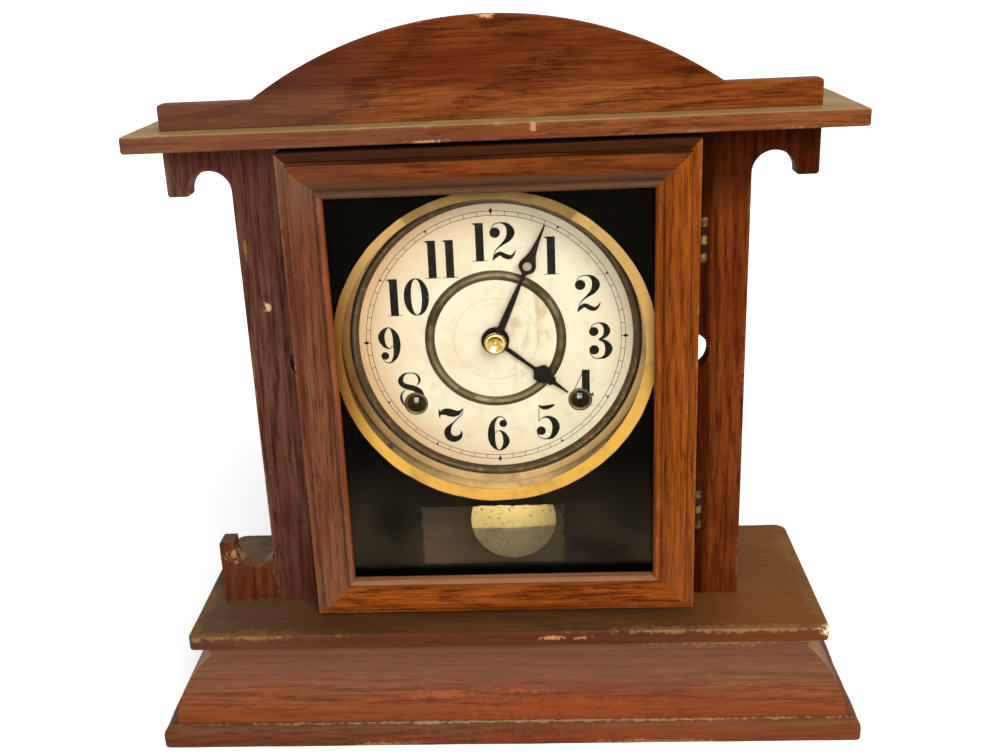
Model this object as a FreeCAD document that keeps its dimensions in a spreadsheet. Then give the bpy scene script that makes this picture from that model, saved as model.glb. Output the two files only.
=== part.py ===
import FreeCAD, Part
import math
import os
import re

import Sketcher
from FreeCAD import Placement, Rotation, Vector

# Arched-crest shelf clock in millimetres: X to the right, Y to the back, Z up, the origin on the surface that it
# stands on, at the middle of the plinth. The clock faces -Y.

SIZES = [
    # one overrun for every cut, and the clearances
    ("overrun", 5.0),
    ("door_gap", 0.4),
    ("running_clearance", 0.05),
    ("mesh_gap", 0.3),
    ("catch_gap", 0.5),

    # plinth and base
    ("plinth_depth", 120.0),
    ("plinth_height", 10.0),
    ("plinth_edge_round", 4.5),
    ("plinth_corner_round", 2.5),
    ("moulding_side_step", 6.5),
    ("moulding_front_step", 5.5),
    ("moulding_height", 35.5),
    ("moulding_stock", 20.0),
    ("moulding_toe_height", 1.5),
    ("moulding_hollow_depth", 15.5),
    ("moulding_hollow_radius", 31.0),
    ("base_rail_thickness", 10.0),
    ("base_top_ledge", 8.3),
    ("base_top_side_overhang", 8.0),
    ("base_top_front_overhang", 7.5),
    ("base_top_thickness", 7.2),
    ("base_top_back_round", 6.0),
    ("base_top_front_round", 2.5),
    ("glue_block_side", 14.0),

    # front boards, cut out of one template and mirrored
    ("case_height", 225.7),
    ("board_thickness", 9.8),
    ("board_front_inset", 33.5),
    ("board_inner_half", 80.0),
    ("board_outer_half", 113.6),
    ("drop_width", 9.8),
    ("drop_height", 21.6),
    ("drop_corner_round", 1.5),
    ("drop_inner_round", 1.3),
    ("hook_step", 0.3),
    ("hook_radius", 9.5),
    ("notch_centre_half", 88.1),
    ("notch_height", 125.1),
    ("notch_radius", 9.1),
    ("toe_height", 33.3),
    ("toe_notch_depth", 13.5),
    ("toe_notch_radius", 9.3),
    ("toe_corner_round", 1.8),
    ("toe_outer_half", 140.2),

    # case behind the front boards
    ("side_thickness", 8.5),
    ("back_thickness", 5.5),
    ("back_inset", 0.5),
    ("header_height", 14.4),
    ("sill_height", 9.5),
    ("case_block_side", 12.0),
    ("back_screw_head_radius", 3.0),
    ("back_screw_shank_radius", 1.6),
    ("back_screw_head_height", 1.8),
    ("back_screw_length", 16.0),
    ("back_screw_inset", 14.0),

    # cornice and crest
    ("cornice_side_overhang", 15.3),
    ("cornice_sideways", 1.5),
    ("cornice_front_overhang", 15.0),
    ("cornice_thickness", 7.4),
    ("cornice_corner_round", 2.0),
    ("crest_thickness", 9.0),
    ("crest_shoulder_height", 11.4),
    ("crest_height", 43.0),
    ("crest_shoulder_length", 40.7),
    ("crest_shoulder_round", 1.6),
    ("crest_block_width", 24.0),
    ("crest_block_side", 12.0),
    ("crest_block_half", 70.0),

    # door: its lap over the case and its height over the mouldings, and the moulding's section counted from the outer edge and the back
    ("door_lap", 10.4),
    ("door_height", 222.5),
    ("door_foot_gap", 1.3),
    ("member_width", 19.4),
    ("fillet_width", 3.9),
    ("fillet_thickness", 15.1),
    ("quirk_width", 0.9),
    ("quirk_depth", 0.8),
    ("crown_end", 12.6),
    ("crown_edge_thickness", 20.4),
    ("crown_rise", 0.9),
    ("slope_end", 15.8),
    ("slope_end_thickness", 17.7),
    ("bead_start", 16.4),
    ("bead_edge_thickness", 18.5),
    ("bead_rise", 1.3),
    ("rabbet_width", 5.0),
    ("rabbet_depth", 14.2),
    ("glass_clearance", 0.9),
    ("glass_thickness", 2.0),
    ("paint_thickness", 0.2),
    ("strip_width", 4.4),
    ("strip_thickness", 3.0),
    ("window_left", 37.5),
    ("window_right", 29.5),
    ("window_bottom_height", 22.0),
    ("window_height", 32.5),
    ("tablet_opening_radius", 67.0),

    # hinges and catch
    ("hinge_axis_offset", 2.6),
    ("hinge_axis_front", 2.2),
    ("barrel_radius", 2.1),
    ("pin_radius", 0.8),
    ("pin_head_height", 0.8),
    ("pin_head_radius", 1.6),
    ("hinge_length", 20.0),
    ("hinge_inset", 36.1),
    ("knuckle_gap", 0.1),
    ("leaf_thickness", 1.0),
    ("leaf_width", 12.0),
    ("hinge_screw_radius", 1.5),
    ("hinge_screw_depth", 6.0),
    ("hinge_screw_inset", 4.5),
    ("catch_thickness", 0.6),
    ("catch_width", 8.0),
    ("catch_length", 16.0),
    ("catch_height", 97.3),
    ("catch_pin_radius", 1.2),
    ("catch_pin_length", 7.4),

    # dial
    ("dial_height", 184.4),
    ("dial_board_thickness", 5.0),
    ("dial_board_foot", 104.0),
    ("dial_board_side_gap", 0.2),
    ("dial_board_opening_radius", 62.0),
    ("pan_flange_radius", 78.3),
    ("pan_disc_radius", 67.0),
    ("pan_thickness", 0.6),
    ("pan_depth", 2.8),
    ("pan_centre_hole_radius", 3.2),
    ("paper_radius", 66.0),
    ("paper_thickness", 0.2),
    ("bezel_inner_radius", 63.5),
    ("bezel_rim_radius", 66.4),
    ("bezel_step_radius", 71.8),
    ("bezel_radius", 77.0),
    ("bezel_rim_rise", 3.0),
    ("bezel_step_rise", 1.6),
    ("bezel_flange_thickness", 1.2),
    ("bezel_wall", 1.0),
    ("inner_ring_radius", 32.8),
    ("inner_ring_width", 4.5),
    ("inner_ring_rise", 1.7),
    ("grommet_radius", 5.7),
    ("grommet_bore_radius", 4.2),
    ("grommet_tube_wall", 0.6),
    ("grommet_rise", 0.8),
    ("dial_screw_circle_radius", 74.5),
    ("dial_screw_head_radius", 1.6),
    ("dial_screw_shank_radius", 0.9),
    ("dial_screw_head_height", 0.8),
    ("dial_screw_length", 4.5),

    # hands, drawn upright from the centre
    ("minute_angle", 23.9),
    ("hour_angle", 128.6),
    ("minute_length", 58.9),
    ("minute_ring_at", 38.7),
    ("minute_ring_radius", 4.2),
    ("minute_ring_hole_radius", 2.8),
    ("minute_base_half", 1.5),
    ("minute_neck_half", 0.8),
    ("minute_thickness", 0.7),
    ("minute_standoff", 5.8),
    ("hour_length", 42.3),
    ("hour_bulb_at", 28.1),
    ("hour_bulb_radius", 4.7),
    ("hour_base_half", 1.9),
    ("hour_neck_half", 1.1),
    ("hour_thickness", 0.8),
    ("hour_standoff", 3.0),
    ("tip_half", 0.35),
    ("hub_radius", 6.6),
    ("nut_radius", 5.1),
    ("nut_thickness", 2.5),

    # motion work on the front plate
    ("arbor_radius", 1.2),
    ("cannon_radius", 1.7),
    ("pipe_radius", 2.3),
    ("cannon_teeth", 12),
    ("minute_wheel_teeth", 36),
    ("minute_pinion_teeth", 10),
    ("hour_wheel_teeth", 40),
    ("motion_centres", 14.0),
    ("motion_wheel_thickness", 1.4),
    ("hour_wheel_setback", 3.8),
    ("minute_wheel_setback", 6.4),

    # movement: plates, arbors and wheels
    ("plate_half_width", 62.0),
    ("plate_foot", 130.0),
    ("plate_top", 242.0),
    ("plate_thickness", 1.5),
    ("plate_front", 10.0),
    ("plate_span", 33.0),
    ("plate_corner_round", 6.0),
    ("pillar_radius", 2.5),
    ("pillar_inset", 4.5),
    ("winding_half", 38.75),
    ("winding_height", 153.6),
    ("winding_arbor_radius", 2.0),
    ("winding_arbor_reach", 11.6),
    ("winding_square_side", 2.6),
    ("winding_square_length", 7.0),
    ("wheel_thickness", 1.2),
    ("wheel_tooth_depth", 1.3),
    ("rim_share", 0.62),
    ("window_share", 0.2),
    ("main_teeth", 72),
    ("second_pinion_teeth", 18),
    ("second_teeth", 54),
    ("centre_pinion_teeth", 18),
    ("centre_teeth", 96),
    ("third_pinion_teeth", 8),
    ("third_teeth", 78),
    ("escape_pinion_teeth", 6),
    ("escape_teeth", 30),
    ("escape_radius", 9.0),
    ("main_setback", 30.4),
    ("second_setback", 28.4),
    ("centre_setback", 26.0),
    ("third_setback", 20.0),
    ("pinion_length", 3.4),
    ("time_second_x", 22.0),
    ("time_second_height", 172.6),
    ("strike_second_x", -30.0),
    ("strike_second_height", 177.3),
    ("third_x", -8.0),
    ("third_height", 206.3),
    ("escape_height", 213.5),
    ("thin_arbor_radius", 0.9),
    ("fine_arbor_radius", 0.7),
    ("spring_radius", 19.0),
    ("spring_seat_gap", 0.3),
    ("spring_setback", 4.0),
    ("spring_length", 22.0),

    # pendulum, verge and crutch
    ("pendulum_x", 5.0),
    ("suspension_height", 235.0),
    ("suspension_post_radius", 1.0),
    ("suspension_eye_radius", 2.4),
    ("suspension_eye_margin", 0.3),
    ("pendulum_plane", 6.0),
    ("pendulum_rod_radius", 0.8),
    ("bob_height", 86.0),
    ("bob_radius", 21.2),
    ("bob_thickness", 7.0),
    ("bob_rim_thickness", 2.0),
    ("rating_nut_radius", 3.0),
    ("rating_nut_height", 3.0),
    ("rod_end_length", 6.0),
    ("verge_height", 226.0),
    ("verge_plane", 8.5),
    ("verge_thickness", 1.6),
    ("verge_hub_radius", 2.4),
    ("verge_pin_radius", 0.8),
    ("anchor_half_span", 8.0),
    ("anchor_band", 1.6),
    ("pallet_foot_height", 220.6),
    ("crutch_contact_height", 197.0),
    ("crutch_width", 1.2),
    ("crutch_gap", 0.3),
    ("fork_height", 4.0),

    # strike hammer and gong
    ("hammer_x", 28.0),
    ("hammer_height", 133.0),
    ("hammer_length", 22.0),
    ("hammer_head_radius", 3.0),
    ("hammer_head_length", 9.0),
    ("hammer_arm_radius", 0.9),
    ("gong_x", 52.0),
    ("gong_radius", 24.0),
    ("gong_wire_radius", 1.5),
    ("gong_coil_gap", 1.2),
    ("gong_base_width", 16.0),
    ("gong_base_height", 10.8),
]

doc = FreeCAD.newDocument("ShelfClock")
sheet = doc.addObject("Spreadsheet::Sheet", "Sizes")
for row, (alias, number) in enumerate(SIZES, 1):
    sheet.set("A%d" % row, alias)
    sheet.set("B%d" % row, str(number))
    sheet.setAlias("B%d" % row, alias)
doc.recompute()
ALIASES = {alias for alias, number in SIZES}
NODES = []

# Lines that several pieces share, written as formulas in the sheet's names.
PLINTH_FRONT = "(-plinth_depth / 2)"
BACK = "(plinth_depth / 2)"
HOOK_CENTRE = "(board_outer_half + hook_step + hook_radius)"
DROP_OUTER = "(%s + hook_radius + drop_width)" % HOOK_CENTRE
BASE_HALF = "(%s + base_top_ledge)" % DROP_OUTER
FOOT_HALF = "(%s - base_top_side_overhang + moulding_hollow_depth)" % BASE_HALF
PLINTH_HALF = "(%s + moulding_side_step)" % FOOT_HALF
FOOT_FRONT = "(%s + moulding_front_step)" % PLINTH_FRONT
MOULDING_TOP = "(plinth_height + moulding_height)"
BASE_FRONT = "(%s + moulding_hollow_depth - base_top_front_overhang)" % FOOT_FRONT
BASE_TOP = "(%s + base_top_thickness)" % MOULDING_TOP
BOARD_FRONT = "(%s + board_front_inset)" % BASE_FRONT
BOARD_BACK = "(%s + board_thickness)" % BOARD_FRONT
CASE_TOP = "(%s + case_height)" % BASE_TOP
CORNICE_TOP = "(%s + cornice_thickness)" % CASE_TOP
CASE_HALF = "(board_inner_half + side_thickness)"
BACKBOARD_BACK = "(%s - back_inset)" % BACK
BACKBOARD_FRONT = "(%s - back_thickness)" % BACKBOARD_BACK
DOOR_HALF = "(board_inner_half + door_lap)"
DOOR_FOOT = "(%s + door_foot_gap)" % BASE_TOP
DOOR_TOP = "(%s + door_height)" % DOOR_FOOT
DOOR_BACK = "(%s - door_gap)" % BOARD_FRONT
RABBET_EDGE = "(member_width - rabbet_width)"
GLASS_FRONT = "(%s - rabbet_depth)" % DOOR_BACK
GLASS_BACK = "(%s + glass_thickness)" % GLASS_FRONT
PAINT_BACK = "(%s + paint_thickness)" % GLASS_BACK
HINGE_X = "(%s + hinge_axis_offset)" % DOOR_HALF
HINGE_Y = "(%s - hinge_axis_front)" % BOARD_FRONT
PAN_FLANGE_FRONT = "(%s - pan_thickness)" % BOARD_BACK
PAN_FRONT = "(%s - pan_depth)" % BOARD_BACK
PAPER_FRONT = "(%s - paper_thickness)" % PAN_FRONT
HOUR_BACK = "(%s - hour_standoff + hour_thickness)" % PAN_FRONT
MINUTE_BACK = "(%s - minute_standoff + minute_thickness - paper_thickness)" % PAN_FRONT
PLATE_BACK = "(plate_front + plate_thickness)"
REAR_PLATE = "(%s + plate_span)" % PLATE_BACK
REAR_PLATE_BACK = "(%s + plate_thickness)" % REAR_PLATE


def ex(text):
    """The formula with each of the sheet's names written as a reference to the sheet."""
    return re.sub(r"[a-z][a-z_]*[a-z]", lambda w: "Sizes." + w.group() if w.group() in ALIASES else w.group(), text)


def value(text):
    return float(sheet.evalExpression(ex(text)))


def move(piece, x="0", y="0", z="0"):
    for axis, text in (("x", x), ("y", y), ("z", z)):
        piece.setExpression("Placement.Base." + axis, ex(text))


def box(name, x, y, z):
    """A box between two formulas on each axis."""
    piece = doc.addObject("Part::Box", name)
    for size, axis, (low, high) in (("Length", "x", x), ("Width", "y", y), ("Height", "z", z)):
        piece.setExpression(size, ex("(%s) - (%s)" % (high, low)))
        piece.setExpression("Placement.Base." + axis, ex(low))
    return piece


TURNS = {"x": Rotation(Vector(0, 1, 0), 90), "y": Rotation(Vector(1, 0, 0), -90), "z": Rotation()}


def rod(name, axis, radius, low, high, x="0", y="0", z="0"):
    """A round rod along an axis, between two formulas on that axis."""
    piece = doc.addObject("Part::Cylinder", name)
    piece.Placement = Placement(Vector(), TURNS[axis])
    piece.setExpression("Radius", ex(radius))
    piece.setExpression("Height", ex("(%s) - (%s)" % (high, low)))
    at = {"x": x, "y": y, "z": z}
    at[axis] = low
    move(piece, **at)
    return piece


def fuse(name, *pieces):
    piece = doc.addObject("Part::MultiFuse", name)
    piece.Shapes = list(pieces)
    return piece


def cut(name, base, *tools):
    piece = doc.addObject("Part::Cut", name)
    piece.Base = base
    piece.Tool = tools[0] if len(tools) == 1 else fuse(name + "_tools", *tools)
    return piece


def group(name, *pieces):
    piece = doc.addObject("Part::Compound", name)
    piece.Links = list(pieces)
    return piece


def mirrored(name, source):
    """A mirror image in the plane X = 0."""
    piece = doc.addObject("Part::Mirroring", name)
    piece.Source = source
    piece.Normal = Vector(1, 0, 0)
    return piece


def node(name, piece):
    piece.Label = name
    NODES.append(piece)
    return piece


def body(name, x="0", y="0", z="0"):
    part = doc.addObject("PartDesign::Body", name)
    move(part, x, y, z)
    return part


def sketch(part, role, points=(), circles=()):
    """A closed outline and circles on one of the body's own planes. A point is (across, up), or
    (across, up, radius, side) where an arc with that radius runs on to the next point, bulging to that side."""
    plane = [feature for feature in part.Origin.OriginFeatures if feature.Role == role][0]
    drawing = part.newObject("Sketcher::SketchObject", part.Name + "_sketch")
    drawing.AttachmentSupport = [(plane, "")]
    drawing.MapMode = "FlatFace"
    places = [Vector(value(point[0]), value(point[1]), 0) for point in points]
    edges = []
    for number, point in enumerate(points):
        start = places[number]
        end = places[(number + 1) % len(places)]
        if len(point) == 2:
            edge = Part.LineSegment(start, end)
        else:
            radius = value(point[2])
            chord = end - start
            half = chord.Length / 2
            across = Vector(chord.y, -chord.x, 0).normalize() * point[3]
            rise = radius - math.sqrt(max(radius * radius - half * half, 0))
            edge = Part.Arc(start, (start + end) * 0.5 + across * rise, end)
        edges.append(drawing.addGeometry(edge, False))
    ends = []
    for number, point in enumerate(points):
        ends.append(arc_ends(drawing, edges[number], places[number]))
    for number, point in enumerate(points):
        following = (number + 1) % len(points)
        drawing.addConstraint(
            Sketcher.Constraint("Coincident", edges[number], ends[number][1], edges[following], ends[following][0]))
        bind_point(drawing, edges[number], ends[number][0], point[0], point[1])
        if len(point) > 2 and is_half_circle(places[number], places[following], value(point[2])):
            mark = drawing.addConstraint(Sketcher.Constraint("DistanceY", -1, 1, edges[number], 3, value(point[1])))
            drawing.setExpression("Constraints[%d]" % mark, ex(point[1]))
        elif len(point) > 2:
            mark = drawing.addConstraint(Sketcher.Constraint("Radius", edges[number], value(point[2])))
            drawing.setExpression("Constraints[%d]" % mark, ex(point[2]))
    for across, up, radius in circles:
        centre = Vector(value(across), value(up), 0)
        ring = drawing.addGeometry(Part.Circle(centre, Vector(0, 0, 1), value(radius)), False)
        bind_point(drawing, ring, 3, across, up)
        mark = drawing.addConstraint(Sketcher.Constraint("Radius", ring, value(radius)))
        drawing.setExpression("Constraints[%d]" % mark, ex(radius))
    doc.recompute()
    return drawing


def is_half_circle(start, end, radius):
    """A half circle on a level chord is held by its centre's height, because its radius leaves the centre free."""
    return abs((end - start).Length - 2 * radius) < 1e-6


def arc_ends(drawing, edge, start):
    """The numbers of an edge's first and last point, seen from the place where the outline enters it."""
    first = drawing.getPoint(edge, 1)
    return (1, 2) if (first - start).Length < 1e-6 else (2, 1)


def bind_point(drawing, edge, end, across, up):
    for kind, text in (("DistanceX", across), ("DistanceY", up)):
        mark = drawing.addConstraint(Sketcher.Constraint(kind, -1, 1, edge, end, value(text)))
        drawing.setExpression("Constraints[%d]" % mark, ex(text))


def pad(part, drawing, length):
    feature = part.newObject("PartDesign::Pad", part.Name + "_pad")
    feature.Profile = drawing
    feature.setExpression("Length", ex(length))
    doc.recompute()
    return feature


def pocket(part, drawing):
    """A cut right through, both ways from the sketch, that has to take something away."""
    before = part.Shape.Volume
    feature = part.newObject("PartDesign::Pocket", part.Name + "_pocket")
    feature.Profile = drawing
    feature.Type = "ThroughAll"
    feature.SideType = "Symmetric"
    doc.recompute()
    if not feature.Shape.Volume < before:
        raise RuntimeError(part.Name + " pocket cuts nothing")
    return feature


def revolve(part, drawing):
    """A full turn about the sketch's upright axis."""
    feature = part.newObject("PartDesign::Revolution", part.Name + "_turn")
    feature.Profile = drawing
    feature.ReferenceAxis = (drawing, ["V_Axis"])
    feature.Angle = 360
    doc.recompute()
    return feature


def fillet(part, radius, wanted):
    """Rounds the edges of the body's last feature whose middle and direction the test wants."""
    last = part.Tip
    names = []
    for number, edge in enumerate(last.Shape.Edges, 1):
        low, high = edge.ParameterRange
        middle = edge.valueAt((low + high) / 2)
        along = edge.tangentAt((low + high) / 2)
        if edge.Curve.TypeId == "Part::GeomLine" and wanted(middle, along):
            names.append("Edge%d" % number)
    feature = part.newObject("PartDesign::Fillet", part.Name + "_fillet")
    feature.Base = (last, names)
    feature.setExpression("Radius", ex(radius))
    doc.recompute()
    return feature


def upright(along):
    return abs(along.z) > abs(along.x) + abs(along.y)


def deep(along):
    return abs(along.y) > abs(along.x) + abs(along.z)


def slab(name, points, front, back, circles=()):
    """A flat board: an outline seen from the front, between two depths."""
    part = body(name, y=back)
    pad(part, sketch(part, "XZ_Plane", points, circles), "(%s) - (%s)" % (back, front))
    return part


def board(name, x, y, z):
    """A lying board with a body of its own, so that its edges can be rounded."""
    part = body(name, z=z[0])
    corners = [(x[0], y[0]), (x[1], y[0]), (x[1], y[1]), (x[0], y[1])]
    pad(part, sketch(part, "XY_Plane", corners), "(%s) - (%s)" % (z[1], z[0]))
    return part


def turned(name, points, x, z):
    """A ring or disc turned about a line along Y; a point is (radius, depth)."""
    part = body(name, x=x, z=z)
    revolve(part, sketch(part, "XY_Plane", points))
    return part


# Plinth: one board with its front and side edges rounded on top.
plinth = board("plinth_board", ("-" + PLINTH_HALF, PLINTH_HALF), (PLINTH_FRONT, BACK),
               ("0", "plinth_height"))
plinth_front = value(PLINTH_FRONT)
fillet(plinth, "plinth_corner_round",
       lambda middle, along: upright(along) and middle.y < 0)
fillet(plinth, "plinth_edge_round",
       lambda middle, along: middle.z > value("plinth_height / 2") and middle.y < value(BACK) / 2
       and not upright(along) and middle.z > value("plinth_height * 0.9"))
node("plinth_board", plinth)


# Base moulding: one section for the front and both returns, counted inwards from the foot and upwards.
def moulding_section(edge, sign):
    """The section's points across, from the foot line at edge, going inwards along sign."""
    def inwards(size):
        return "%s %s (%s)" % (edge, sign, size)
    hollow_top = ("(plinth_height + moulding_toe_height + sqrt(moulding_hollow_radius ^ 2"
                  " - (moulding_hollow_radius - moulding_hollow_depth) ^ 2))")
    side = -1 if sign == "+" else 1
    return [(edge, "plinth_height"),
            (edge, "plinth_height + moulding_toe_height", "moulding_hollow_radius", side),
            (inwards("moulding_hollow_depth"), hollow_top),
            (inwards("moulding_hollow_depth"), MOULDING_TOP),
            (inwards("moulding_stock"), MOULDING_TOP),
            (inwards("moulding_stock"), "plinth_height")]


front_moulding = body("front_moulding_stock", x="-" + FOOT_HALF)
pad(front_moulding, sketch(front_moulding, "YZ_Plane", moulding_section(FOOT_FRONT, "+")), "2 * " + FOOT_HALF)
left_moulding = body("left_moulding_stock", y=BACK)
pad(left_moulding, sketch(left_moulding, "XZ_Plane", moulding_section("-" + FOOT_HALF, "+")),
    "%s - %s" % (BACK, FOOT_FRONT))


def mitre_wedge(name, sign, outside):
    """The prism on one side of the mitre at a front corner of the base: outside keeps to the return's side."""
    corner = "%s%s" % (sign, FOOT_HALF)
    reach = "(moulding_stock + overrun)"
    inner = "%s(%s - %s)" % (sign, FOOT_HALF, reach)
    part = body(name, z="plinth_height - overrun")
    over = "%s(%s + overrun)" % (sign, FOOT_HALF)
    ahead = "(%s - overrun)" % FOOT_FRONT
    behind = "(%s + %s)" % (FOOT_FRONT, reach)
    if outside:
        points = [(over, ahead), (inner, behind), (over, behind)]
    else:
        points = [(over, ahead), (inner, behind), (inner, ahead)]
    pad(part, sketch(part, "XY_Plane", points), "moulding_height + 2 * overrun")
    return part


node("base_moulding_front", cut("base_moulding_front", front_moulding,
                                mitre_wedge("front_mitre_right", "", True),
                                mitre_wedge("front_mitre_left", "-", True)))
left_return = cut("base_moulding_left", left_moulding, mitre_wedge("return_mitre_left", "-", False))
node("base_moulding_left", left_return)
node("base_moulding_right", mirrored("base_moulding_right", left_return))

BASE_INNER = "(%s - moulding_stock)" % FOOT_HALF
BASE_RAIL_FRONT = "(%s - base_rail_thickness)" % BACK
BASE_INNER_FRONT = "(%s + moulding_stock)" % FOOT_FRONT
node("base_back_rail", box("base_back_rail", ("-" + BASE_INNER, BASE_INNER), (BASE_RAIL_FRONT, BACK),
                           ("plinth_height", MOULDING_TOP)))

base_top = board("base_top_board", ("-" + BASE_HALF, BASE_HALF), (BASE_FRONT, BACK), (MOULDING_TOP, BASE_TOP))
fillet(base_top, "base_top_back_round", lambda middle, along: upright(along) and middle.y > 0)
fillet(base_top, "base_top_front_round", lambda middle, along: upright(along) and middle.y < 0
       and abs(middle.y - value(BASE_FRONT)) < value("base_top_front_round"))
node("base_top_board", base_top)

# Front boards: the right one, and its mirror image with the toe block glued to its foot.
DROP_FOOT = "(%s - drop_height)" % CASE_TOP
HOOK_HEIGHT = "(%s + drop_corner_round)" % DROP_FOOT
HOOK_OUTER = "(%s + hook_radius)" % HOOK_CENTRE
HOOK_INNER = "(%s - hook_radius)" % HOOK_CENTRE
NOTCH_Z = "(%s + notch_height)" % BASE_TOP
right_board = slab("right_board_stock", [
    ("board_inner_half", BASE_TOP),
    ("board_outer_half", BASE_TOP),
    ("board_outer_half", HOOK_HEIGHT),
    (HOOK_INNER, HOOK_HEIGHT, "hook_radius", -1),
    (HOOK_OUTER, HOOK_HEIGHT),
    (HOOK_OUTER, DROP_FOOT),
    (DROP_OUTER, DROP_FOOT),
    (DROP_OUTER, CASE_TOP),
    ("board_inner_half", CASE_TOP)], BOARD_FRONT, BOARD_BACK)
fillet(right_board, "drop_corner_round", lambda middle, along: deep(along)
       and abs(middle.x - value(DROP_OUTER)) < value("drop_corner_round")
       and abs(middle.z - value(DROP_FOOT)) < value("drop_corner_round"))
fillet(right_board, "drop_inner_round", lambda middle, along: deep(along)
       and abs(middle.x - value(HOOK_OUTER)) < value("drop_inner_round")
       and abs(middle.z - value(DROP_FOOT)) < value("drop_inner_round"))
pocket(right_board, sketch(right_board, "XZ_Plane", [
    ("board_inner_half - overrun", NOTCH_Z + " - notch_radius"),
    ("notch_centre_half", NOTCH_Z + " - notch_radius", "notch_radius", 1),
    ("notch_centre_half + notch_radius", NOTCH_Z, "notch_radius", 1),
    ("notch_centre_half", NOTCH_Z + " + notch_radius"),
    ("board_inner_half - overrun", NOTCH_Z + " + notch_radius")]))

HINGE_HEIGHTS = (("lower", "(%s + hinge_inset)" % DOOR_FOOT),
                 ("upper", "(%s - hinge_inset - hinge_length)" % DOOR_TOP))
LEAF_INNER = "(%s - leaf_width + barrel_radius / 2)" % HINGE_X
leaf_mortises = []
for place, foot in HINGE_HEIGHTS:
    leaf_mortises.append(box("board_mortise_" + place, (LEAF_INNER, HINGE_X),
                             (BOARD_FRONT + " - overrun", BOARD_FRONT + " + leaf_thickness"),
                             (foot, foot + " + hinge_length")))
node("right_front_board", cut("right_front_board", right_board, *leaf_mortises))
node("left_front_board", mirrored("left_front_board", right_board))

TOE_TOP = "(%s + toe_height)" % BASE_TOP
TOE_NOTCH_Z = "(%s - toe_notch_depth + toe_notch_radius)" % TOE_TOP
toe = slab("left_toe_block", [
    ("-toe_outer_half", BASE_TOP),
    ("-board_outer_half", BASE_TOP),
    ("-board_outer_half", TOE_NOTCH_Z),
    ("toe_notch_radius - " + HOOK_CENTRE, TOE_NOTCH_Z, "toe_notch_radius", -1),
    ("-toe_notch_radius - " + HOOK_CENTRE, TOE_NOTCH_Z),
    ("-toe_notch_radius - " + HOOK_CENTRE, TOE_TOP),
    ("-toe_outer_half", TOE_TOP)], BOARD_FRONT, BOARD_BACK)
fillet(toe, "toe_corner_round", lambda middle, along: deep(along)
       and abs(middle.x + value("toe_outer_half")) < value("toe_corner_round")
       and abs(middle.z - value(TOE_TOP)) < value("toe_corner_round"))
node("left_toe_block", toe)

# Case behind the boards.
side = box("case_side_right", ("board_inner_half", CASE_HALF), (BOARD_BACK, BACKBOARD_FRONT), (BASE_TOP, CASE_TOP))
node("case_side_right", side)
node("case_side_left", mirrored("case_side_left", side))
node("front_header", box("front_header", ("-board_inner_half", "board_inner_half"), (BOARD_FRONT, BOARD_BACK),
                         (CASE_TOP + " - header_height", CASE_TOP)))
node("front_sill", box("front_sill", ("-board_inner_half", "board_inner_half"), (BOARD_FRONT, BOARD_BACK),
                       (BASE_TOP, BASE_TOP + " + sill_height")))

screw_places = []
screws = []
holes = []
for sign in ("-", ""):
    for number, height in enumerate(("%s + back_screw_inset" % BASE_TOP, "(%s + %s) / 2" % (BASE_TOP, CASE_TOP),
                                     "%s - back_screw_inset" % CASE_TOP)):
        tag = "%s_%d" % ("left" if sign else "right", number)
        x = "%s(%s - side_thickness / 2)" % (sign, CASE_HALF)
        for kind, extra, pieces in (("screw", "0", screws), ("hole", "overrun", holes)):
            head = doc.addObject("Part::Cone", "back_%s_head_%s" % (kind, tag))
            head.Placement = Placement(Vector(), TURNS["y"])
            head.setExpression("Radius1", ex("back_screw_shank_radius"))
            head.setExpression("Radius2", ex("back_screw_head_radius"))
            head.setExpression("Height", ex("back_screw_head_height"))
            move(head, x, BACKBOARD_BACK + " - back_screw_head_height", height)
            shank = rod("back_%s_shank_%s" % (kind, tag), "y", "back_screw_shank_radius",
                        BACKBOARD_BACK + " - back_screw_length", BACKBOARD_BACK + " - back_screw_head_height / 2",
                        x=x, z=height)
            pieces.append(fuse("back_%s_%s" % (kind, tag), head, shank))
board_stock = box("back_board_stock", ("-" + CASE_HALF, CASE_HALF), (BACKBOARD_FRONT, BACKBOARD_BACK),
                  (BASE_TOP, CASE_TOP))
node("back_board", cut("back_board", board_stock, *holes))
node("back_screws", group("back_screws", *screws))
for name, sides in (("case_side_right", holes[3:]), ("case_side_left", holes[:3])):
    piece = [made for made in NODES if made.Label == name][0]
    NODES.remove(piece)
    piece.Label = name + "_stock"
    node(name, cut(name + "_drilled", piece, *sides))

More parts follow.
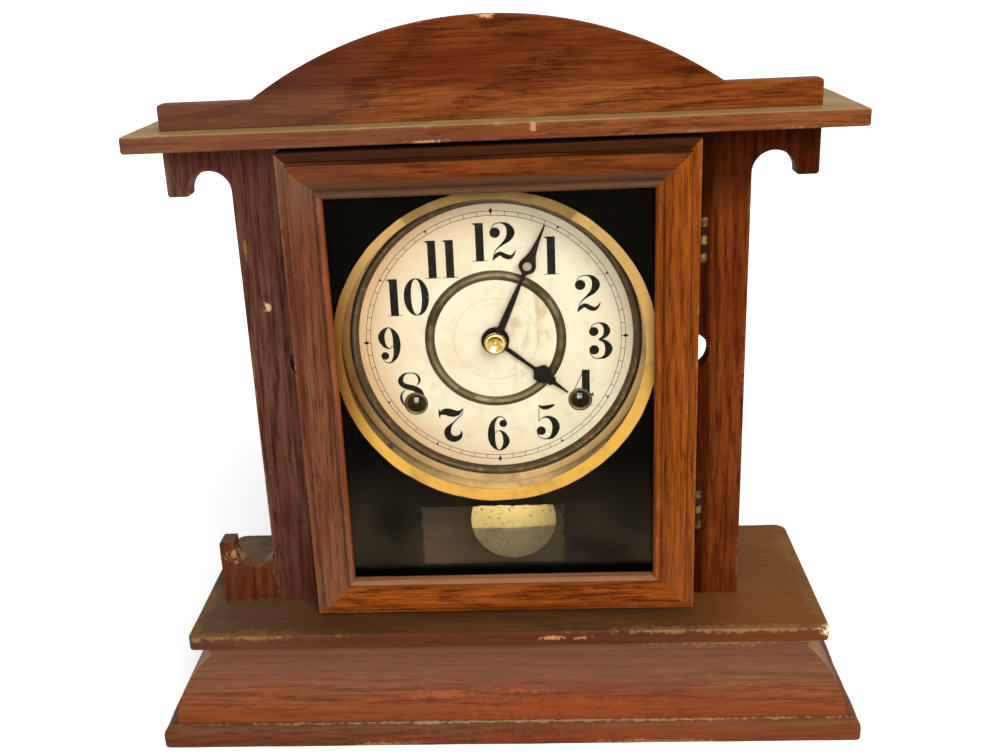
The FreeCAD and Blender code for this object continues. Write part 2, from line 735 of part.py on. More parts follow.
blocks = []
for sign, tag in (("-", "left"), ("", "right")):
    outer = "%s%s" % (sign, BASE_INNER)
    inner = "%s(%s - glue_block_side)" % (sign, BASE_INNER)
    ends = (outer, inner) if sign else (inner, outer)
    blocks.append(box("base_block_front_" + tag, ends,
                      (BASE_INNER_FRONT, BASE_INNER_FRONT + " + glue_block_side"), ("plinth_height", MOULDING_TOP)))
    blocks.append(box("base_block_back_" + tag, ends,
                      (BASE_RAIL_FRONT + " - glue_block_side", BASE_RAIL_FRONT), ("plinth_height", MOULDING_TOP)))
    outer = "%sboard_inner_half" % sign
    inner = "%s(board_inner_half - case_block_side)" % sign
    ends = (outer, inner) if sign else (inner, outer)
    dial_board_back = "(%s + dial_board_thickness)" % BOARD_BACK
    blocks.append(box("case_block_front_" + tag, ends, (dial_board_back, dial_board_back + " + case_block_side"),
                      (CASE_TOP + " - case_block_side", CASE_TOP)))
    blocks.append(box("case_block_back_" + tag, ends,
                      (BACKBOARD_FRONT + " - case_block_side", BACKBOARD_FRONT),
                      (CASE_TOP + " - case_block_side", CASE_TOP)))
    outer = "%s(crest_block_half + crest_block_width / 2)" % sign
    inner = "%s(crest_block_half - crest_block_width / 2)" % sign
    ends = (outer, inner) if sign else (inner, outer)
    crest_back = "(%s + crest_thickness)" % BOARD_FRONT
    blocks.append(box("crest_block_" + tag, ends, (crest_back, crest_back + " + crest_block_side"),
                      (CORNICE_TOP, CORNICE_TOP + " + crest_block_side")))
node("glue_blocks", group("glue_blocks", *blocks))

# Cornice and crest.
CORNICE_HALF = "(%s + cornice_side_overhang)" % DROP_OUTER
cornice = board("cornice_board", ("cornice_sideways - " + CORNICE_HALF, "cornice_sideways + " + CORNICE_HALF),
                (BOARD_FRONT + " - cornice_front_overhang", BACK), (CASE_TOP, CORNICE_TOP))
fillet(cornice, "cornice_corner_round", lambda middle, along: upright(along))
node("cornice_board", cornice)

CREST_SAG = "(crest_height - crest_shoulder_height)"
CREST_ARC_HALF = "(%s - crest_shoulder_length)" % DROP_OUTER
crest = slab("crest_board", [
    ("-" + DROP_OUTER, CORNICE_TOP),
    (DROP_OUTER, CORNICE_TOP),
    (DROP_OUTER, CORNICE_TOP + " + crest_shoulder_height"),
    (CREST_ARC_HALF, CORNICE_TOP + " + crest_shoulder_height",
     "(%s ^ 2 + %s ^ 2) / (2 * %s)" % (CREST_ARC_HALF, CREST_SAG, CREST_SAG), 1),
    ("-" + CREST_ARC_HALF, CORNICE_TOP + " + crest_shoulder_height"),
    ("-" + DROP_OUTER, CORNICE_TOP + " + crest_shoulder_height")],
    BOARD_FRONT, "%s + crest_thickness" % BOARD_FRONT)
fillet(crest, "crest_shoulder_round", lambda middle, along: deep(along)
       and abs(abs(middle.x) - value(DROP_OUTER)) < value("crest_shoulder_round")
       and middle.z > value(CORNICE_TOP + " + crest_shoulder_height / 2"))
node("crest_board", crest)


# Door: one section for the four members, counted inwards from the door's edge and forwards from its back.
def door_section(edge, sign):
    def place(inwards, thickness):
        return ("%s %s (%s)" % (edge, sign, inwards), "%s - (%s)" % (DOOR_BACK, thickness))
    outwards = -1 if sign == "-" else 1
    crown_start = "fillet_width + quirk_width"
    crown_half = "((crown_end - fillet_width - quirk_width) / 2)"
    bead_half = "((member_width - bead_start) / 2)"
    return [place("0", "0"),
            place("0", "fillet_thickness"),
            place("fillet_width", "fillet_thickness"),
            place("fillet_width", "fillet_thickness - quirk_depth"),
            place(crown_start, "fillet_thickness - quirk_depth"),
            place(crown_start, "crown_edge_thickness")
            + ("(%s ^ 2 + crown_rise ^ 2) / (2 * crown_rise)" % crown_half, outwards),
            place("crown_end", "crown_edge_thickness"),
            place("slope_end", "slope_end_thickness"),
            place("slope_end", "slope_end_thickness - quirk_depth"),
            place("bead_start", "slope_end_thickness - quirk_depth"),
            place("bead_start", "bead_edge_thickness")
            + ("(%s ^ 2 + bead_rise ^ 2) / (2 * bead_rise)" % bead_half, outwards),
            place("member_width", "bead_edge_thickness"),
            place("member_width", "rabbet_depth"),
            place(RABBET_EDGE, "rabbet_depth"),
            place(RABBET_EDGE, "0")]


def door_mitre(name, corners):
    """The prism that a member loses at one end."""
    part = body(name, y=DOOR_BACK + " + overrun")
    pad(part, sketch(part, "XZ_Plane", corners), "crown_edge_thickness + crown_rise + 2 * overrun")
    return part


MITRE = "(member_width + overrun)"
stile = body("right_stile_stock", z=DOOR_FOOT)
pad(stile, sketch(stile, "XY_Plane", door_section(DOOR_HALF, "-")), "door_height")
stile_mitres = [
    door_mitre("right_stile_mitre_top", [(DOOR_HALF + " + overrun", DOOR_TOP + " + overrun"),
                                         (DOOR_HALF + " - " + MITRE, DOOR_TOP + " - " + MITRE),
                                         (DOOR_HALF + " - " + MITRE, DOOR_TOP + " + overrun")]),
    door_mitre("right_stile_mitre_foot", [(DOOR_HALF + " + overrun", DOOR_FOOT + " - overrun"),
                                          (DOOR_HALF + " - " + MITRE, DOOR_FOOT + " + " + MITRE),
                                          (DOOR_HALF + " - " + MITRE, DOOR_FOOT + " - overrun")])]
right_stile = cut("right_stile_mitred", stile, *stile_mitres)
door_mortises = []
DOOR_LEAF_BACK = "(%s - door_gap)" % DOOR_BACK
for place, foot in HINGE_HEIGHTS:
    door_mortises.append(box("stile_mortise_" + place, (DOOR_HALF + " - leaf_thickness", DOOR_HALF + " + overrun"),
                             (DOOR_LEAF_BACK + " - leaf_width", DOOR_LEAF_BACK), (foot, foot + " + hinge_length")))
node("door_stile_right", cut("door_stile_right", right_stile, *door_mortises))
node("door_stile_left", mirrored("door_stile_left", right_stile))

for name, level, sign, flip in (("door_rail_top", DOOR_TOP, "-", "+"), ("door_rail_bottom", DOOR_FOOT, "+", "-")):
    rail = body(name + "_stock", x="-" + DOOR_HALF)
    section = [(point[1], point[0]) + tuple(point[2:3]) + tuple(-side for side in point[3:])
               for point in door_section(level, sign)]
    pad(rail, sketch(rail, "YZ_Plane", section), "2 * " + DOOR_HALF)
    ends = []
    for tag, edge, inwards, outwards in (("right", DOOR_HALF, "-", "+"), ("left", "-" + DOOR_HALF, "+", "-")):
        ends.append(door_mitre("%s_mitre_%s" % (name, tag), [
            ("%s %s overrun" % (edge, outwards), "%s %s overrun" % (level, flip)),
            ("%s %s %s" % (edge, inwards, MITRE), "%s %s %s" % (level, sign, MITRE)),
            ("%s %s overrun" % (edge, outwards), "%s %s %s" % (level, sign, MITRE))]))
    node(name, cut(name, rail, *ends))

GLASS_HALF = "(%s - %s - glass_clearance)" % (DOOR_HALF, RABBET_EDGE)
GLASS_FOOT = "(%s + %s + glass_clearance)" % (DOOR_FOOT, RABBET_EDGE)
GLASS_TOP = "(%s - %s - glass_clearance)" % (DOOR_TOP, RABBET_EDGE)
node("door_glass", box("door_glass", ("-" + GLASS_HALF, GLASS_HALF), (GLASS_FRONT, GLASS_BACK),
                       (GLASS_FOOT, GLASS_TOP)))
tablet = slab("black_tablet", [("-" + GLASS_HALF, GLASS_FOOT), (GLASS_HALF, GLASS_FOOT), (GLASS_HALF, GLASS_TOP),
                               ("-" + GLASS_HALF, GLASS_TOP)], GLASS_BACK, PAINT_BACK)
WINDOW_FOOT = "(%s + window_bottom_height)" % DOOR_FOOT
pocket(tablet, sketch(tablet, "XZ_Plane", circles=[("0", "dial_height", "tablet_opening_radius")]))
pocket(tablet, sketch(tablet, "XZ_Plane", [
    ("-window_left", WINDOW_FOOT), ("window_right", WINDOW_FOOT),
    ("window_right", WINDOW_FOOT + " + window_height"), ("-window_left", WINDOW_FOOT + " + window_height")]))
node("black_tablet", tablet)

STRIP_OUTER = "(%s - %s)" % (DOOR_HALF, RABBET_EDGE)
STRIP_FOOT = "(%s + %s)" % (DOOR_FOOT, RABBET_EDGE)
STRIP_TOP = "(%s - %s)" % (DOOR_TOP, RABBET_EDGE)
strip_depth = (PAINT_BACK, PAINT_BACK + " + strip_thickness")
node("glazing_strips", group(
    "glazing_strips",
    box("strip_right", (STRIP_OUTER + " - strip_width", STRIP_OUTER), strip_depth, (STRIP_FOOT, STRIP_TOP)),
    box("strip_left", ("-" + STRIP_OUTER, "strip_width - " + STRIP_OUTER), strip_depth, (STRIP_FOOT, STRIP_TOP)),
    box("strip_top", ("strip_width - " + STRIP_OUTER, STRIP_OUTER + " - strip_width"), strip_depth,
        (STRIP_TOP + " - strip_width", STRIP_TOP)),
    box("strip_bottom", ("strip_width - " + STRIP_OUTER, STRIP_OUTER + " - strip_width"), strip_depth,
        (STRIP_FOOT, STRIP_FOOT + " + strip_width"))))

# Hinges: five knuckles on a pin, three on the door's leaf and two on the case's leaf.
KNUCKLE = "(hinge_length / 5)"
door_leaves = []
case_leaves = []
pins = []
case_leaf_screws = []
for place, foot in HINGE_HEIGHTS:
    door_parts = [box("door_leaf_plate_" + place, (DOOR_HALF + " - leaf_thickness", DOOR_HALF),
                      (DOOR_LEAF_BACK + " - leaf_width", DOOR_LEAF_BACK), (foot, foot + " + hinge_length"))]
    case_parts = [box("case_leaf_plate_" + place, (LEAF_INNER, HINGE_X),
                      (BOARD_FRONT, BOARD_FRONT + " + leaf_thickness"), (foot, foot + " + hinge_length"))]
    for number in range(5):
        low = "%s + %d * %s + knuckle_gap / 2" % (foot, number, KNUCKLE)
        high = "%s + %d * %s - knuckle_gap / 2" % (foot, number + 1, KNUCKLE)
        tag = "%s_%d" % (place, number)
        barrel = rod("barrel_" + tag, "z", "barrel_radius", low, high, x=HINGE_X, y=HINGE_Y)
        if number % 2 == 0:
            neck = box("neck_" + tag, (DOOR_HALF, HINGE_X), (HINGE_Y + " - leaf_thickness", HINGE_Y), (low, high))
            door_parts += [barrel, neck]
        else:
            neck = box("neck_" + tag, (HINGE_X + " - leaf_thickness", HINGE_X), (HINGE_Y, BOARD_FRONT), (low, high))
            case_parts += [barrel, neck]
    bore = rod("bore_" + place, "z", "pin_radius + running_clearance", foot + " - overrun",
               foot + " + hinge_length + overrun", x=HINGE_X, y=HINGE_Y)
    door_leaves.append(cut("door_leaf_" + place, fuse("door_leaf_stock_" + place, *door_parts), bore))
    case_leaves.append(cut("case_leaf_" + place, fuse("case_leaf_stock_" + place, *case_parts), bore))
    pin = rod("pin_shank_" + place, "z", "pin_radius", foot + " - pin_head_height", foot + " + hinge_length",
              x=HINGE_X, y=HINGE_Y)
    pin_foot = rod("pin_foot_" + place, "z", "pin_head_radius", foot + " - pin_head_height", foot,
                   x=HINGE_X, y=HINGE_Y)
    pins.append(fuse("pin_" + place, pin, pin_foot))
    for number, inset in enumerate(("hinge_screw_inset", "(hinge_length - hinge_screw_inset)")):
        case_leaf_screws.append(rod("case_leaf_screw_%s_%d" % (place, number), "y", "hinge_screw_radius",
                                    BOARD_FRONT + " + leaf_thickness",
                                    BOARD_FRONT + " + leaf_thickness + hinge_screw_depth",
                                    x="%s + leaf_width / 3" % LEAF_INNER, z="%s + %s" % (foot, inset)))
node("hinge_door_leaves", group("hinge_door_leaves", *door_leaves))
node("hinge_case_leaves", group("hinge_case_leaves", *case_leaves))
node("hinge_pins", group("hinge_pins", *pins))
board_with_leaves = NODES[[made.Label for made in NODES].index("right_front_board")]
NODES.remove(board_with_leaves)
board_with_leaves.Label = "right_front_board_mortised"
node("right_front_board", cut("right_front_board_drilled", board_with_leaves, *case_leaf_screws))
node("hinge_screws", group("hinge_screws", *case_leaf_screws))

# Catch: a spring strip on the left board's inner edge and a pin in the back of the door.
CATCH_Z = "(%s + catch_height)" % BASE_TOP
CATCH_FRONT = "(%s + catch_thickness)" % BOARD_FRONT
node("door_catch", box("door_catch", ("-board_inner_half", "catch_thickness - board_inner_half"),
                       (CATCH_FRONT, CATCH_FRONT + " + catch_width"),
                       (CATCH_Z, CATCH_Z + " + catch_length")))
CATCH_PIN_X = "(catch_thickness + catch_gap + catch_pin_radius - board_inner_half)"
node("door_catch_pin", rod("door_catch_pin", "y", "catch_pin_radius", DOOR_BACK, DOOR_BACK + " + catch_pin_length",
                           x=CATCH_PIN_X, z=CATCH_Z + " + catch_length / 2"))

# Dial: a wooden board with a round hole carries the pan, the paper and the bezel.
DIAL_SCREW_SHARES = ((1, 1), (1, -1), (-1, -1), (-1, 1))
DIAL_SCREW_AT = "(dial_screw_circle_radius * 0.7071)"
dial_screws = []
dial_holes = []
for number, (across, up) in enumerate(DIAL_SCREW_SHARES):
    x = "%d * %s" % (across, DIAL_SCREW_AT)
    z = "dial_height + %d * %s" % (up, DIAL_SCREW_AT)
    seat = PAN_FLANGE_FRONT + " - bezel_flange_thickness"
    head = rod("dial_screw_head_%d" % number, "y", "dial_screw_head_radius", seat + " - dial_screw_head_height",
               seat, x=x, z=z)
    shank = rod("dial_screw_shank_%d" % number, "y", "dial_screw_shank_radius", seat,
                seat + " + dial_screw_length", x=x, z=z)
    dial_screws.append(fuse("dial_screw_%d" % number, head, shank))
    dial_holes.append(rod("dial_hole_%d" % number, "y", "dial_screw_shank_radius", seat + " - overrun",
                          seat + " + dial_screw_length", x=x, z=z))
dial_board = slab("dial_board_stock", [
    ("dial_board_side_gap - board_inner_half", "dial_board_foot"),
    ("board_inner_half - dial_board_side_gap", "dial_board_foot"),
    ("board_inner_half - dial_board_side_gap", CASE_TOP),
    ("dial_board_side_gap - board_inner_half", CASE_TOP)],
    BOARD_BACK, "%s + dial_board_thickness" % BOARD_BACK,
    circles=[("0", "dial_height", "dial_board_opening_radius")])
node("dial_board", cut("dial_board", dial_board, *dial_holes))

grommet_holes = []
for tag, sign in (("time", ""), ("strike", "-")):
    grommet_holes.append(rod("grommet_hole_" + tag, "y",
                             "grommet_bore_radius + grommet_tube_wall + running_clearance",
                             PAPER_FRONT + " - overrun", BOARD_BACK + " + overrun",
                             x=sign + "winding_half", z="winding_height"))
pan = turned("dial_pan_stock", [
    ("pan_centre_hole_radius", PAN_FRONT),
    ("pan_disc_radius", PAN_FRONT),
    ("pan_disc_radius", PAN_FLANGE_FRONT),
    ("pan_flange_radius", PAN_FLANGE_FRONT),
    ("pan_flange_radius", BOARD_BACK),
    ("pan_disc_radius - pan_thickness", BOARD_BACK),
    ("pan_disc_radius - pan_thickness", PAN_FRONT + " + pan_thickness"),
    ("pan_centre_hole_radius", PAN_FRONT + " + pan_thickness")], "0", "dial_height")
node("dial_pan", cut("dial_pan", pan, *(grommet_holes + dial_holes)))
paper = turned("dial_paper_stock", [
    ("pan_centre_hole_radius", PAPER_FRONT), ("paper_radius", PAPER_FRONT),
    ("paper_radius", PAN_FRONT), ("pan_centre_hole_radius", PAN_FRONT)], "0", "dial_height")
node("dial_paper", cut("dial_paper", paper, *grommet_holes))

BEZEL_FOOT = "(%s - bezel_flange_thickness)" % PAN_FLANGE_FRONT
bezel = turned("dial_bezel_stock", [
    ("bezel_inner_radius", PAPER_FRONT),
    ("bezel_inner_radius", PAPER_FRONT + " - bezel_wall"),
    ("(bezel_inner_radius + bezel_rim_radius) / 2", PAPER_FRONT + " - bezel_rim_rise"),
    ("bezel_rim_radius", PAPER_FRONT + " - bezel_rim_rise"),
    ("bezel_rim_radius + bezel_wall", PAPER_FRONT + " - bezel_step_rise"),
    ("bezel_step_radius", PAPER_FRONT + " - bezel_step_rise"),
    ("bezel_step_radius + bezel_wall", BEZEL_FOOT),
    ("bezel_radius", BEZEL_FOOT),
    ("bezel_radius", PAN_FLANGE_FRONT),
    ("pan_disc_radius + bezel_wall", PAN_FLANGE_FRONT),
    ("pan_disc_radius + bezel_wall", PAPER_FRONT)], "0", "dial_height")
node("dial_bezel", cut("dial_bezel", bezel, *dial_holes))

node("dial_inner_ring", turned("dial_inner_ring", [
    ("inner_ring_radius - inner_ring_width", PAPER_FRONT,
     "((inner_ring_width / 2) ^ 2 + inner_ring_rise ^ 2) / (2 * inner_ring_rise)", 1),
    ("inner_ring_radius", PAPER_FRONT)], "0", "dial_height"))

grommets = []
for tag, sign in (("time", ""), ("strike", "-")):
    grommets.append(turned("grommet_" + tag, [
        ("grommet_bore_radius", PAPER_FRONT + " - grommet_rise"),
        ("grommet_radius - grommet_rise / 2", PAPER_FRONT + " - grommet_rise"),
        ("grommet_radius", PAPER_FRONT),
        ("grommet_bore_radius + grommet_tube_wall", PAPER_FRONT),
        ("grommet_bore_radius + grommet_tube_wall", PAN_FRONT + " + pan_thickness"),
        ("grommet_bore_radius", PAN_FRONT + " + pan_thickness")], sign + "winding_half", "winding_height"))
node("winding_grommets", group("winding_grommets", *grommets))
node("dial_screws", group("dial_screws", *dial_screws))


# Hands, drawn upright about the centre and then turned to the photographed time.
def turn_hand(piece, angle):
    piece.Placement = Placement(Vector(), Rotation(Vector(0, 1, 0), value(angle)))
    piece.setExpression("Placement.Rotation.Angle", ex(angle))
    move(piece, z="dial_height")


def blade(name, points, front, back):
    part = body(name, y=back)
    pad(part, sketch(part, "XZ_Plane", points), "(%s) - (%s)" % (back, front))
    return part


MINUTE_FRONT = "(%s - minute_thickness)" % MINUTE_BACK
HOUR_FRONT = "(%s - hour_thickness)" % HOUR_BACK
minute_fuse = fuse(
    "minute_hand_stock",
    rod("minute_hub", "y", "hub_radius * minute_base_half / hour_base_half", MINUTE_FRONT, MINUTE_BACK),
    blade("minute_blade", [("-minute_base_half", "0"), ("minute_base_half", "0"),
                           ("minute_neck_half", "minute_ring_at"), ("-minute_neck_half", "minute_ring_at")],
          MINUTE_FRONT, MINUTE_BACK),
    rod("minute_bulb", "y", "minute_ring_radius", MINUTE_FRONT, MINUTE_BACK, z="minute_ring_at"),
    blade("minute_tip", [("-minute_neck_half", "minute_ring_at + minute_ring_hole_radius"),
                         ("minute_neck_half", "minute_ring_at + minute_ring_hole_radius"),
                         ("tip_half", "minute_length"), ("-tip_half", "minute_length")],
          MINUTE_FRONT, MINUTE_BACK))
minute_hand = cut("minute_hand", minute_fuse,
                  rod("minute_ring_hole", "y", "minute_ring_hole_radius", MINUTE_FRONT + " - overrun",
                      MINUTE_BACK + " + overrun", z="minute_ring_at"),
                  rod("minute_centre_hole", "y", "cannon_radius", MINUTE_FRONT + " - overrun",
                      MINUTE_BACK + " + overrun"))
turn_hand(minute_hand, "minute_angle")
node("minute_hand", minute_hand)

hour_fuse = fuse(
    "hour_hand_stock",
    rod("hour_hub", "y", "hub_radius", HOUR_FRONT, HOUR_BACK),
    blade("hour_blade", [("-hour_base_half", "0"), ("hour_base_half", "0"),
                         ("hour_neck_half", "hour_bulb_at"), ("-hour_neck_half", "hour_bulb_at")],
          HOUR_FRONT, HOUR_BACK),
    rod("hour_bulb", "y", "hour_bulb_radius", HOUR_FRONT, HOUR_BACK, z="hour_bulb_at"),
    blade("hour_tip", [("-hour_base_half", "hour_bulb_at + hour_bulb_radius / 2"),
                       ("hour_base_half", "hour_bulb_at + hour_bulb_radius / 2"),
                       ("tip_half", "hour_length"), ("-tip_half", "hour_length")],
          HOUR_FRONT, HOUR_BACK))
hour_hand = cut("hour_hand", hour_fuse,
                rod("hour_centre_hole", "y", "pipe_radius", HOUR_FRONT + " - overrun", HOUR_BACK + " + overrun"))
turn_hand(hour_hand, "hour_angle")
node("hour_hand", hour_hand)

ARBOR_TIP = "(%s - nut_thickness / 2)" % MINUTE_FRONT
nut = rod("nut_stock", "y", "nut_radius", MINUTE_FRONT + " - nut_thickness", MINUTE_FRONT, z="dial_height")
nut_bore = rod("nut_bore", "y", "arbor_radius + running_clearance", ARBOR_TIP + " - running_clearance",
               MINUTE_FRONT + " + overrun", z="dial_height")
node("hand_nut", cut("hand_nut", nut, nut_bore))


def toothed_disc(teeth, tip_radius, depth, low, high, bore=None):
    """A disc with straight-sided teeth about a line along Y, built at the origin; its numbers come ready."""
    points = []
    step = 2 * math.pi / teeth
    for number in range(teeth):
        for angle, radius in ((0, tip_radius - depth), (1 / 4, tip_radius - depth), (2 / 5, tip_radius),
                              (3 / 5, tip_radius), (3 / 4, tip_radius - depth)):
            turn = (number + angle) * step
            points.append(Vector(radius * math.sin(turn), low, radius * math.cos(turn)))
    points.append(points[0])
    disc = Part.Face(Part.makePolygon(points)).extrude(Vector(0, high - low, 0))
    return disc


def drum(radius, low, high):
    return Part.makeCylinder(radius, high - low, Vector(0, low, 0), Vector(0, 1, 0))


def wheel(name, parts, x, z):
    """Parts of one wheel fused and put at its arbor's place."""
    shape = parts[0].multiFuse(parts[1:]).removeSplitter()
    piece = doc.addObject("Part::Feature", name)
    piece.Shape = shape
    move(piece, x=x, z=z)
    return node(name, piece)


def crossed_disc(teeth, tip_radius, depth, low, high):
    """A wheel's toothed disc with five round windows."""
    disc = toothed_disc(teeth, tip_radius, depth, low, high)
    windows = []
    for number in range(5):
        turn = number * 2 * math.pi / 5
        centre = Vector(value("rim_share") * tip_radius * math.sin(turn), low - value("overrun"),
                        value("rim_share") * tip_radius * math.cos(turn))
        windows.append(Part.makeCylinder(value("window_share") * tip_radius, high - low + 2 * value("overrun"),
                                         centre, Vector(0, 1, 0)))
    return disc.cut(windows)


def mesh_radii(distance, wheel_teeth, pinion_teeth):
    """Tip radii of a wheel and its pinion, so that the tips pass each other with the mesh gap."""
    share = wheel_teeth / (wheel_teeth + pinion_teeth)
    return (distance * share - value("mesh_gap") / 2, distance * (1 - share) - value("mesh_gap") / 2)


def distance(first, second):
    return math.hypot(value(first[0]) - value(second[0]), value(first[1]) - value(second[1]))


# Motion work: cannon pinion and minute wheel, minute pinion and hour wheel, in front of the front plate.
CENTRE = ("0", "dial_height")
MINUTE_STUD = ("-motion_centres", "dial_height")
fit = value("running_clearance")
thin = value("motion_wheel_thickness")
centres = value("motion_centres")
tooth = value("wheel_tooth_depth / 2")
minute_wheel_radius, cannon_pinion_radius = mesh_radii(centres, value("minute_wheel_teeth"), value("cannon_teeth"))
hour_wheel_radius, minute_pinion_radius = mesh_radii(centres, value("hour_wheel_teeth"),
                                                     value("minute_pinion_teeth"))
hour_low = value(PAN_FRONT + " + hour_wheel_setback")
minute_low = value(PAN_FRONT + " + minute_wheel_setback")
cannon = drum(value("cannon_radius"), value(MINUTE_FRONT), minute_low + thin)
cannon = cannon.fuse(toothed_disc(int(value("cannon_teeth")), cannon_pinion_radius, tooth, minute_low,
                                  minute_low + thin))
cannon = cannon.cut(drum(value("arbor_radius") + fit, value(MINUTE_FRONT + " - overrun"),
                         minute_low + thin + value("overrun")))
wheel("cannon_pinion", [cannon], *CENTRE)
pipe = drum(value("pipe_radius"), value(HOUR_FRONT), hour_low + thin)
pipe = pipe.fuse(toothed_disc(int(value("hour_wheel_teeth")), hour_wheel_radius, tooth, hour_low, hour_low + thin))
pipe = pipe.cut(drum(value("cannon_radius") + fit, value(HOUR_FRONT + " - overrun"),
                     hour_low + thin + value("overrun")))
wheel("hour_wheel", [pipe], *CENTRE)
minute = toothed_disc(int(value("minute_wheel_teeth")), minute_wheel_radius, tooth, minute_low, minute_low + thin)
minute = minute.fuse(toothed_disc(int(value("minute_pinion_teeth")), minute_pinion_radius, tooth, hour_low,
                                  minute_low))
minute = minute.cut(drum(value("arbor_radius") + fit, hour_low - value("overrun"),
                         minute_low + thin + value("overrun")))
wheel("minute_wheel", [minute], *MINUTE_STUD)

# Arbors of the two trains: where each stands, how thick it is and how far it reaches.
TIME_MAIN = ("winding_half", "winding_height")
STRIKE_MAIN = ("-winding_half", "winding_height")
TIME_SECOND = ("time_second_x", "time_second_height")
STRIKE_SECOND = ("strike_second_x", "strike_second_height")
THIRD = ("third_x", "third_height")
ESCAPE = ("pendulum_x", "escape_height")
HAMMER = ("hammer_x", "hammer_height")
VERGE_FRONT = "(verge_plane - verge_thickness / 2)"
ARBORS = (
    ("time_main", TIME_MAIN, "winding_arbor_radius"),
    ("strike_main", STRIKE_MAIN, "winding_arbor_radius"),
    ("time_second", TIME_SECOND, "thin_arbor_radius"),
    ("strike_second", STRIKE_SECOND, "thin_arbor_radius"),
    ("centre", CENTRE, "arbor_radius"),
    ("third", THIRD, "fine_arbor_radius"),
    ("escape", ESCAPE, "fine_arbor_radius"),
    ("hammer", HAMMER, "arbor_radius"),
)

# Plates: the front one carries the suspension post, the verge's pin and the minute wheel's stud; the back one
# has the pillars riveted to it and stands on feet against the back board.
def plate(name, front, back):
    part = slab(name, [("-plate_half_width", "plate_foot"), ("plate_half_width", "plate_foot"),
                       ("plate_half_width", "plate_top"), ("-plate_half_width", "plate_top")], front, back)
    fillet(part, "plate_corner_round", lambda middle, along: deep(along))
    return part


def pivots(tag, low, high):
    return [rod("%s_%s_pivot" % (name, tag), "y", radius + " + running_clearance", low + " - overrun / 2",
                high + " + overrun / 2", x=x, z=z) for name, (x, z), radius in ARBORS]


front_plate = cut("front_plate_drilled", plate("front_plate_stock", "plate_front", PLATE_BACK),
                  *pivots("front", "plate_front", PLATE_BACK))
post = rod("suspension_post", "y", "suspension_post_radius",
           "pendulum_plane - pendulum_rod_radius - suspension_post_radius", "plate_front",
           x="pendulum_x", z="suspension_height")
verge_pin = rod("verge_pin", "y", "verge_pin_radius", VERGE_FRONT, "plate_front", x="pendulum_x", z="verge_height")
stud = rod("minute_wheel_stud", "y", "arbor_radius", PAN_FRONT + " + hour_wheel_setback", "plate_front",
           x=MINUTE_STUD[0], z=MINUTE_STUD[1])
node("front_plate", fuse("front_plate", front_plate, post, verge_pin, stud))

back_parts = [cut("back_plate_drilled", plate("back_plate_stock", REAR_PLATE, REAR_PLATE_BACK),
                  *pivots("back", REAR_PLATE, REAR_PLATE_BACK))]
for tag_x, x in (("left", "pillar_inset - plate_half_width"), ("right", "plate_half_width - pillar_inset")):
    for tag_z, z in (("foot", "plate_foot + pillar_inset"), ("top", "plate_top - pillar_inset")):
        back_parts.append(rod("pillar_%s_%s" % (tag_x, tag_z), "y", "pillar_radius", PLATE_BACK, REAR_PLATE,
                              x=x, z=z))
        back_parts.append(rod("foot_%s_%s" % (tag_x, tag_z), "y", "pillar_radius", REAR_PLATE_BACK,
                              BACKBOARD_FRONT, x=x, z=z))
node("back_plate", fuse("back_plate", *back_parts))

# Wheels of the trains, between the plates.
rear = value(REAR_PLATE_BACK)
inner_front = value("plate_front")
thick = value("wheel_thickness")
long_pinion = value("pinion_length")
big_tooth = value("wheel_tooth_depth")
main_low = value(PLATE_BACK + " + main_setback")
second_low = value(PLATE_BACK + " + second_setback")
centre_low = value(PLATE_BACK + " + centre_setback")
third_low = value(PLATE_BACK + " + third_setback")


def arbor(radius, front, back=rear):
    return drum(value(radius), front, back)


for name, place, second_place in (("time", TIME_MAIN, TIME_SECOND), ("strike", STRIKE_MAIN, STRIKE_SECOND)):
    gap = distance(place, second_place)
    main_radius, second_pinion_radius = mesh_radii(gap, value("main_teeth"), value("second_pinion_teeth"))
    tip = inner_front - value("winding_arbor_reach")
    square_side = value("winding_square_side")
    square = Part.makeBox(square_side, value("winding_square_length"), square_side,
                          Vector(-square_side / 2, tip, -square_side / 2))
    wheel(name + "_main_wheel", [
        arbor("winding_arbor_radius", tip + value("winding_square_length")), square,
        crossed_disc(int(value("main_teeth")), main_radius, big_tooth, main_low, main_low + thick)], *place)
    if name == "time":
        second_radius, centre_pinion_radius = mesh_radii(distance(TIME_SECOND, CENTRE), value("second_teeth"),
                                                         value("centre_pinion_teeth"))
    wheel(name + "_second_wheel", [
        arbor("thin_arbor_radius", inner_front),
        toothed_disc(int(value("second_pinion_teeth")), second_pinion_radius, tooth, main_low - thick,
                     main_low - thick + long_pinion),
        crossed_disc(int(value("second_teeth")), second_radius, big_tooth, second_low, second_low + thick)],
        *second_place)

centre_radius, third_pinion_radius = mesh_radii(distance(CENTRE, THIRD), value("centre_teeth"),
                                                value("third_pinion_teeth"))
wheel("centre_wheel", [
    arbor("arbor_radius", value(ARBOR_TIP)),
    toothed_disc(int(value("centre_pinion_teeth")), centre_pinion_radius, tooth, second_low - thick / 2,
                 second_low - thick / 2 + long_pinion),
    crossed_disc(int(value("centre_teeth")), centre_radius, big_tooth, centre_low, centre_low + thick)], *CENTRE)
third_radius, escape_pinion_radius = mesh_radii(distance(THIRD, ESCAPE), value("third_teeth"),
                                                value("escape_pinion_teeth"))
pinion_tooth = tooth / 2
wheel("third_wheel", [
    arbor("fine_arbor_radius", inner_front),
    toothed_disc(int(value("third_pinion_teeth")), third_pinion_radius, pinion_tooth, centre_low - thick,
                 centre_low - thick + long_pinion),
    crossed_disc(int(value("third_teeth")), third_radius, big_tooth, third_low, third_low + thick)], *THIRD)
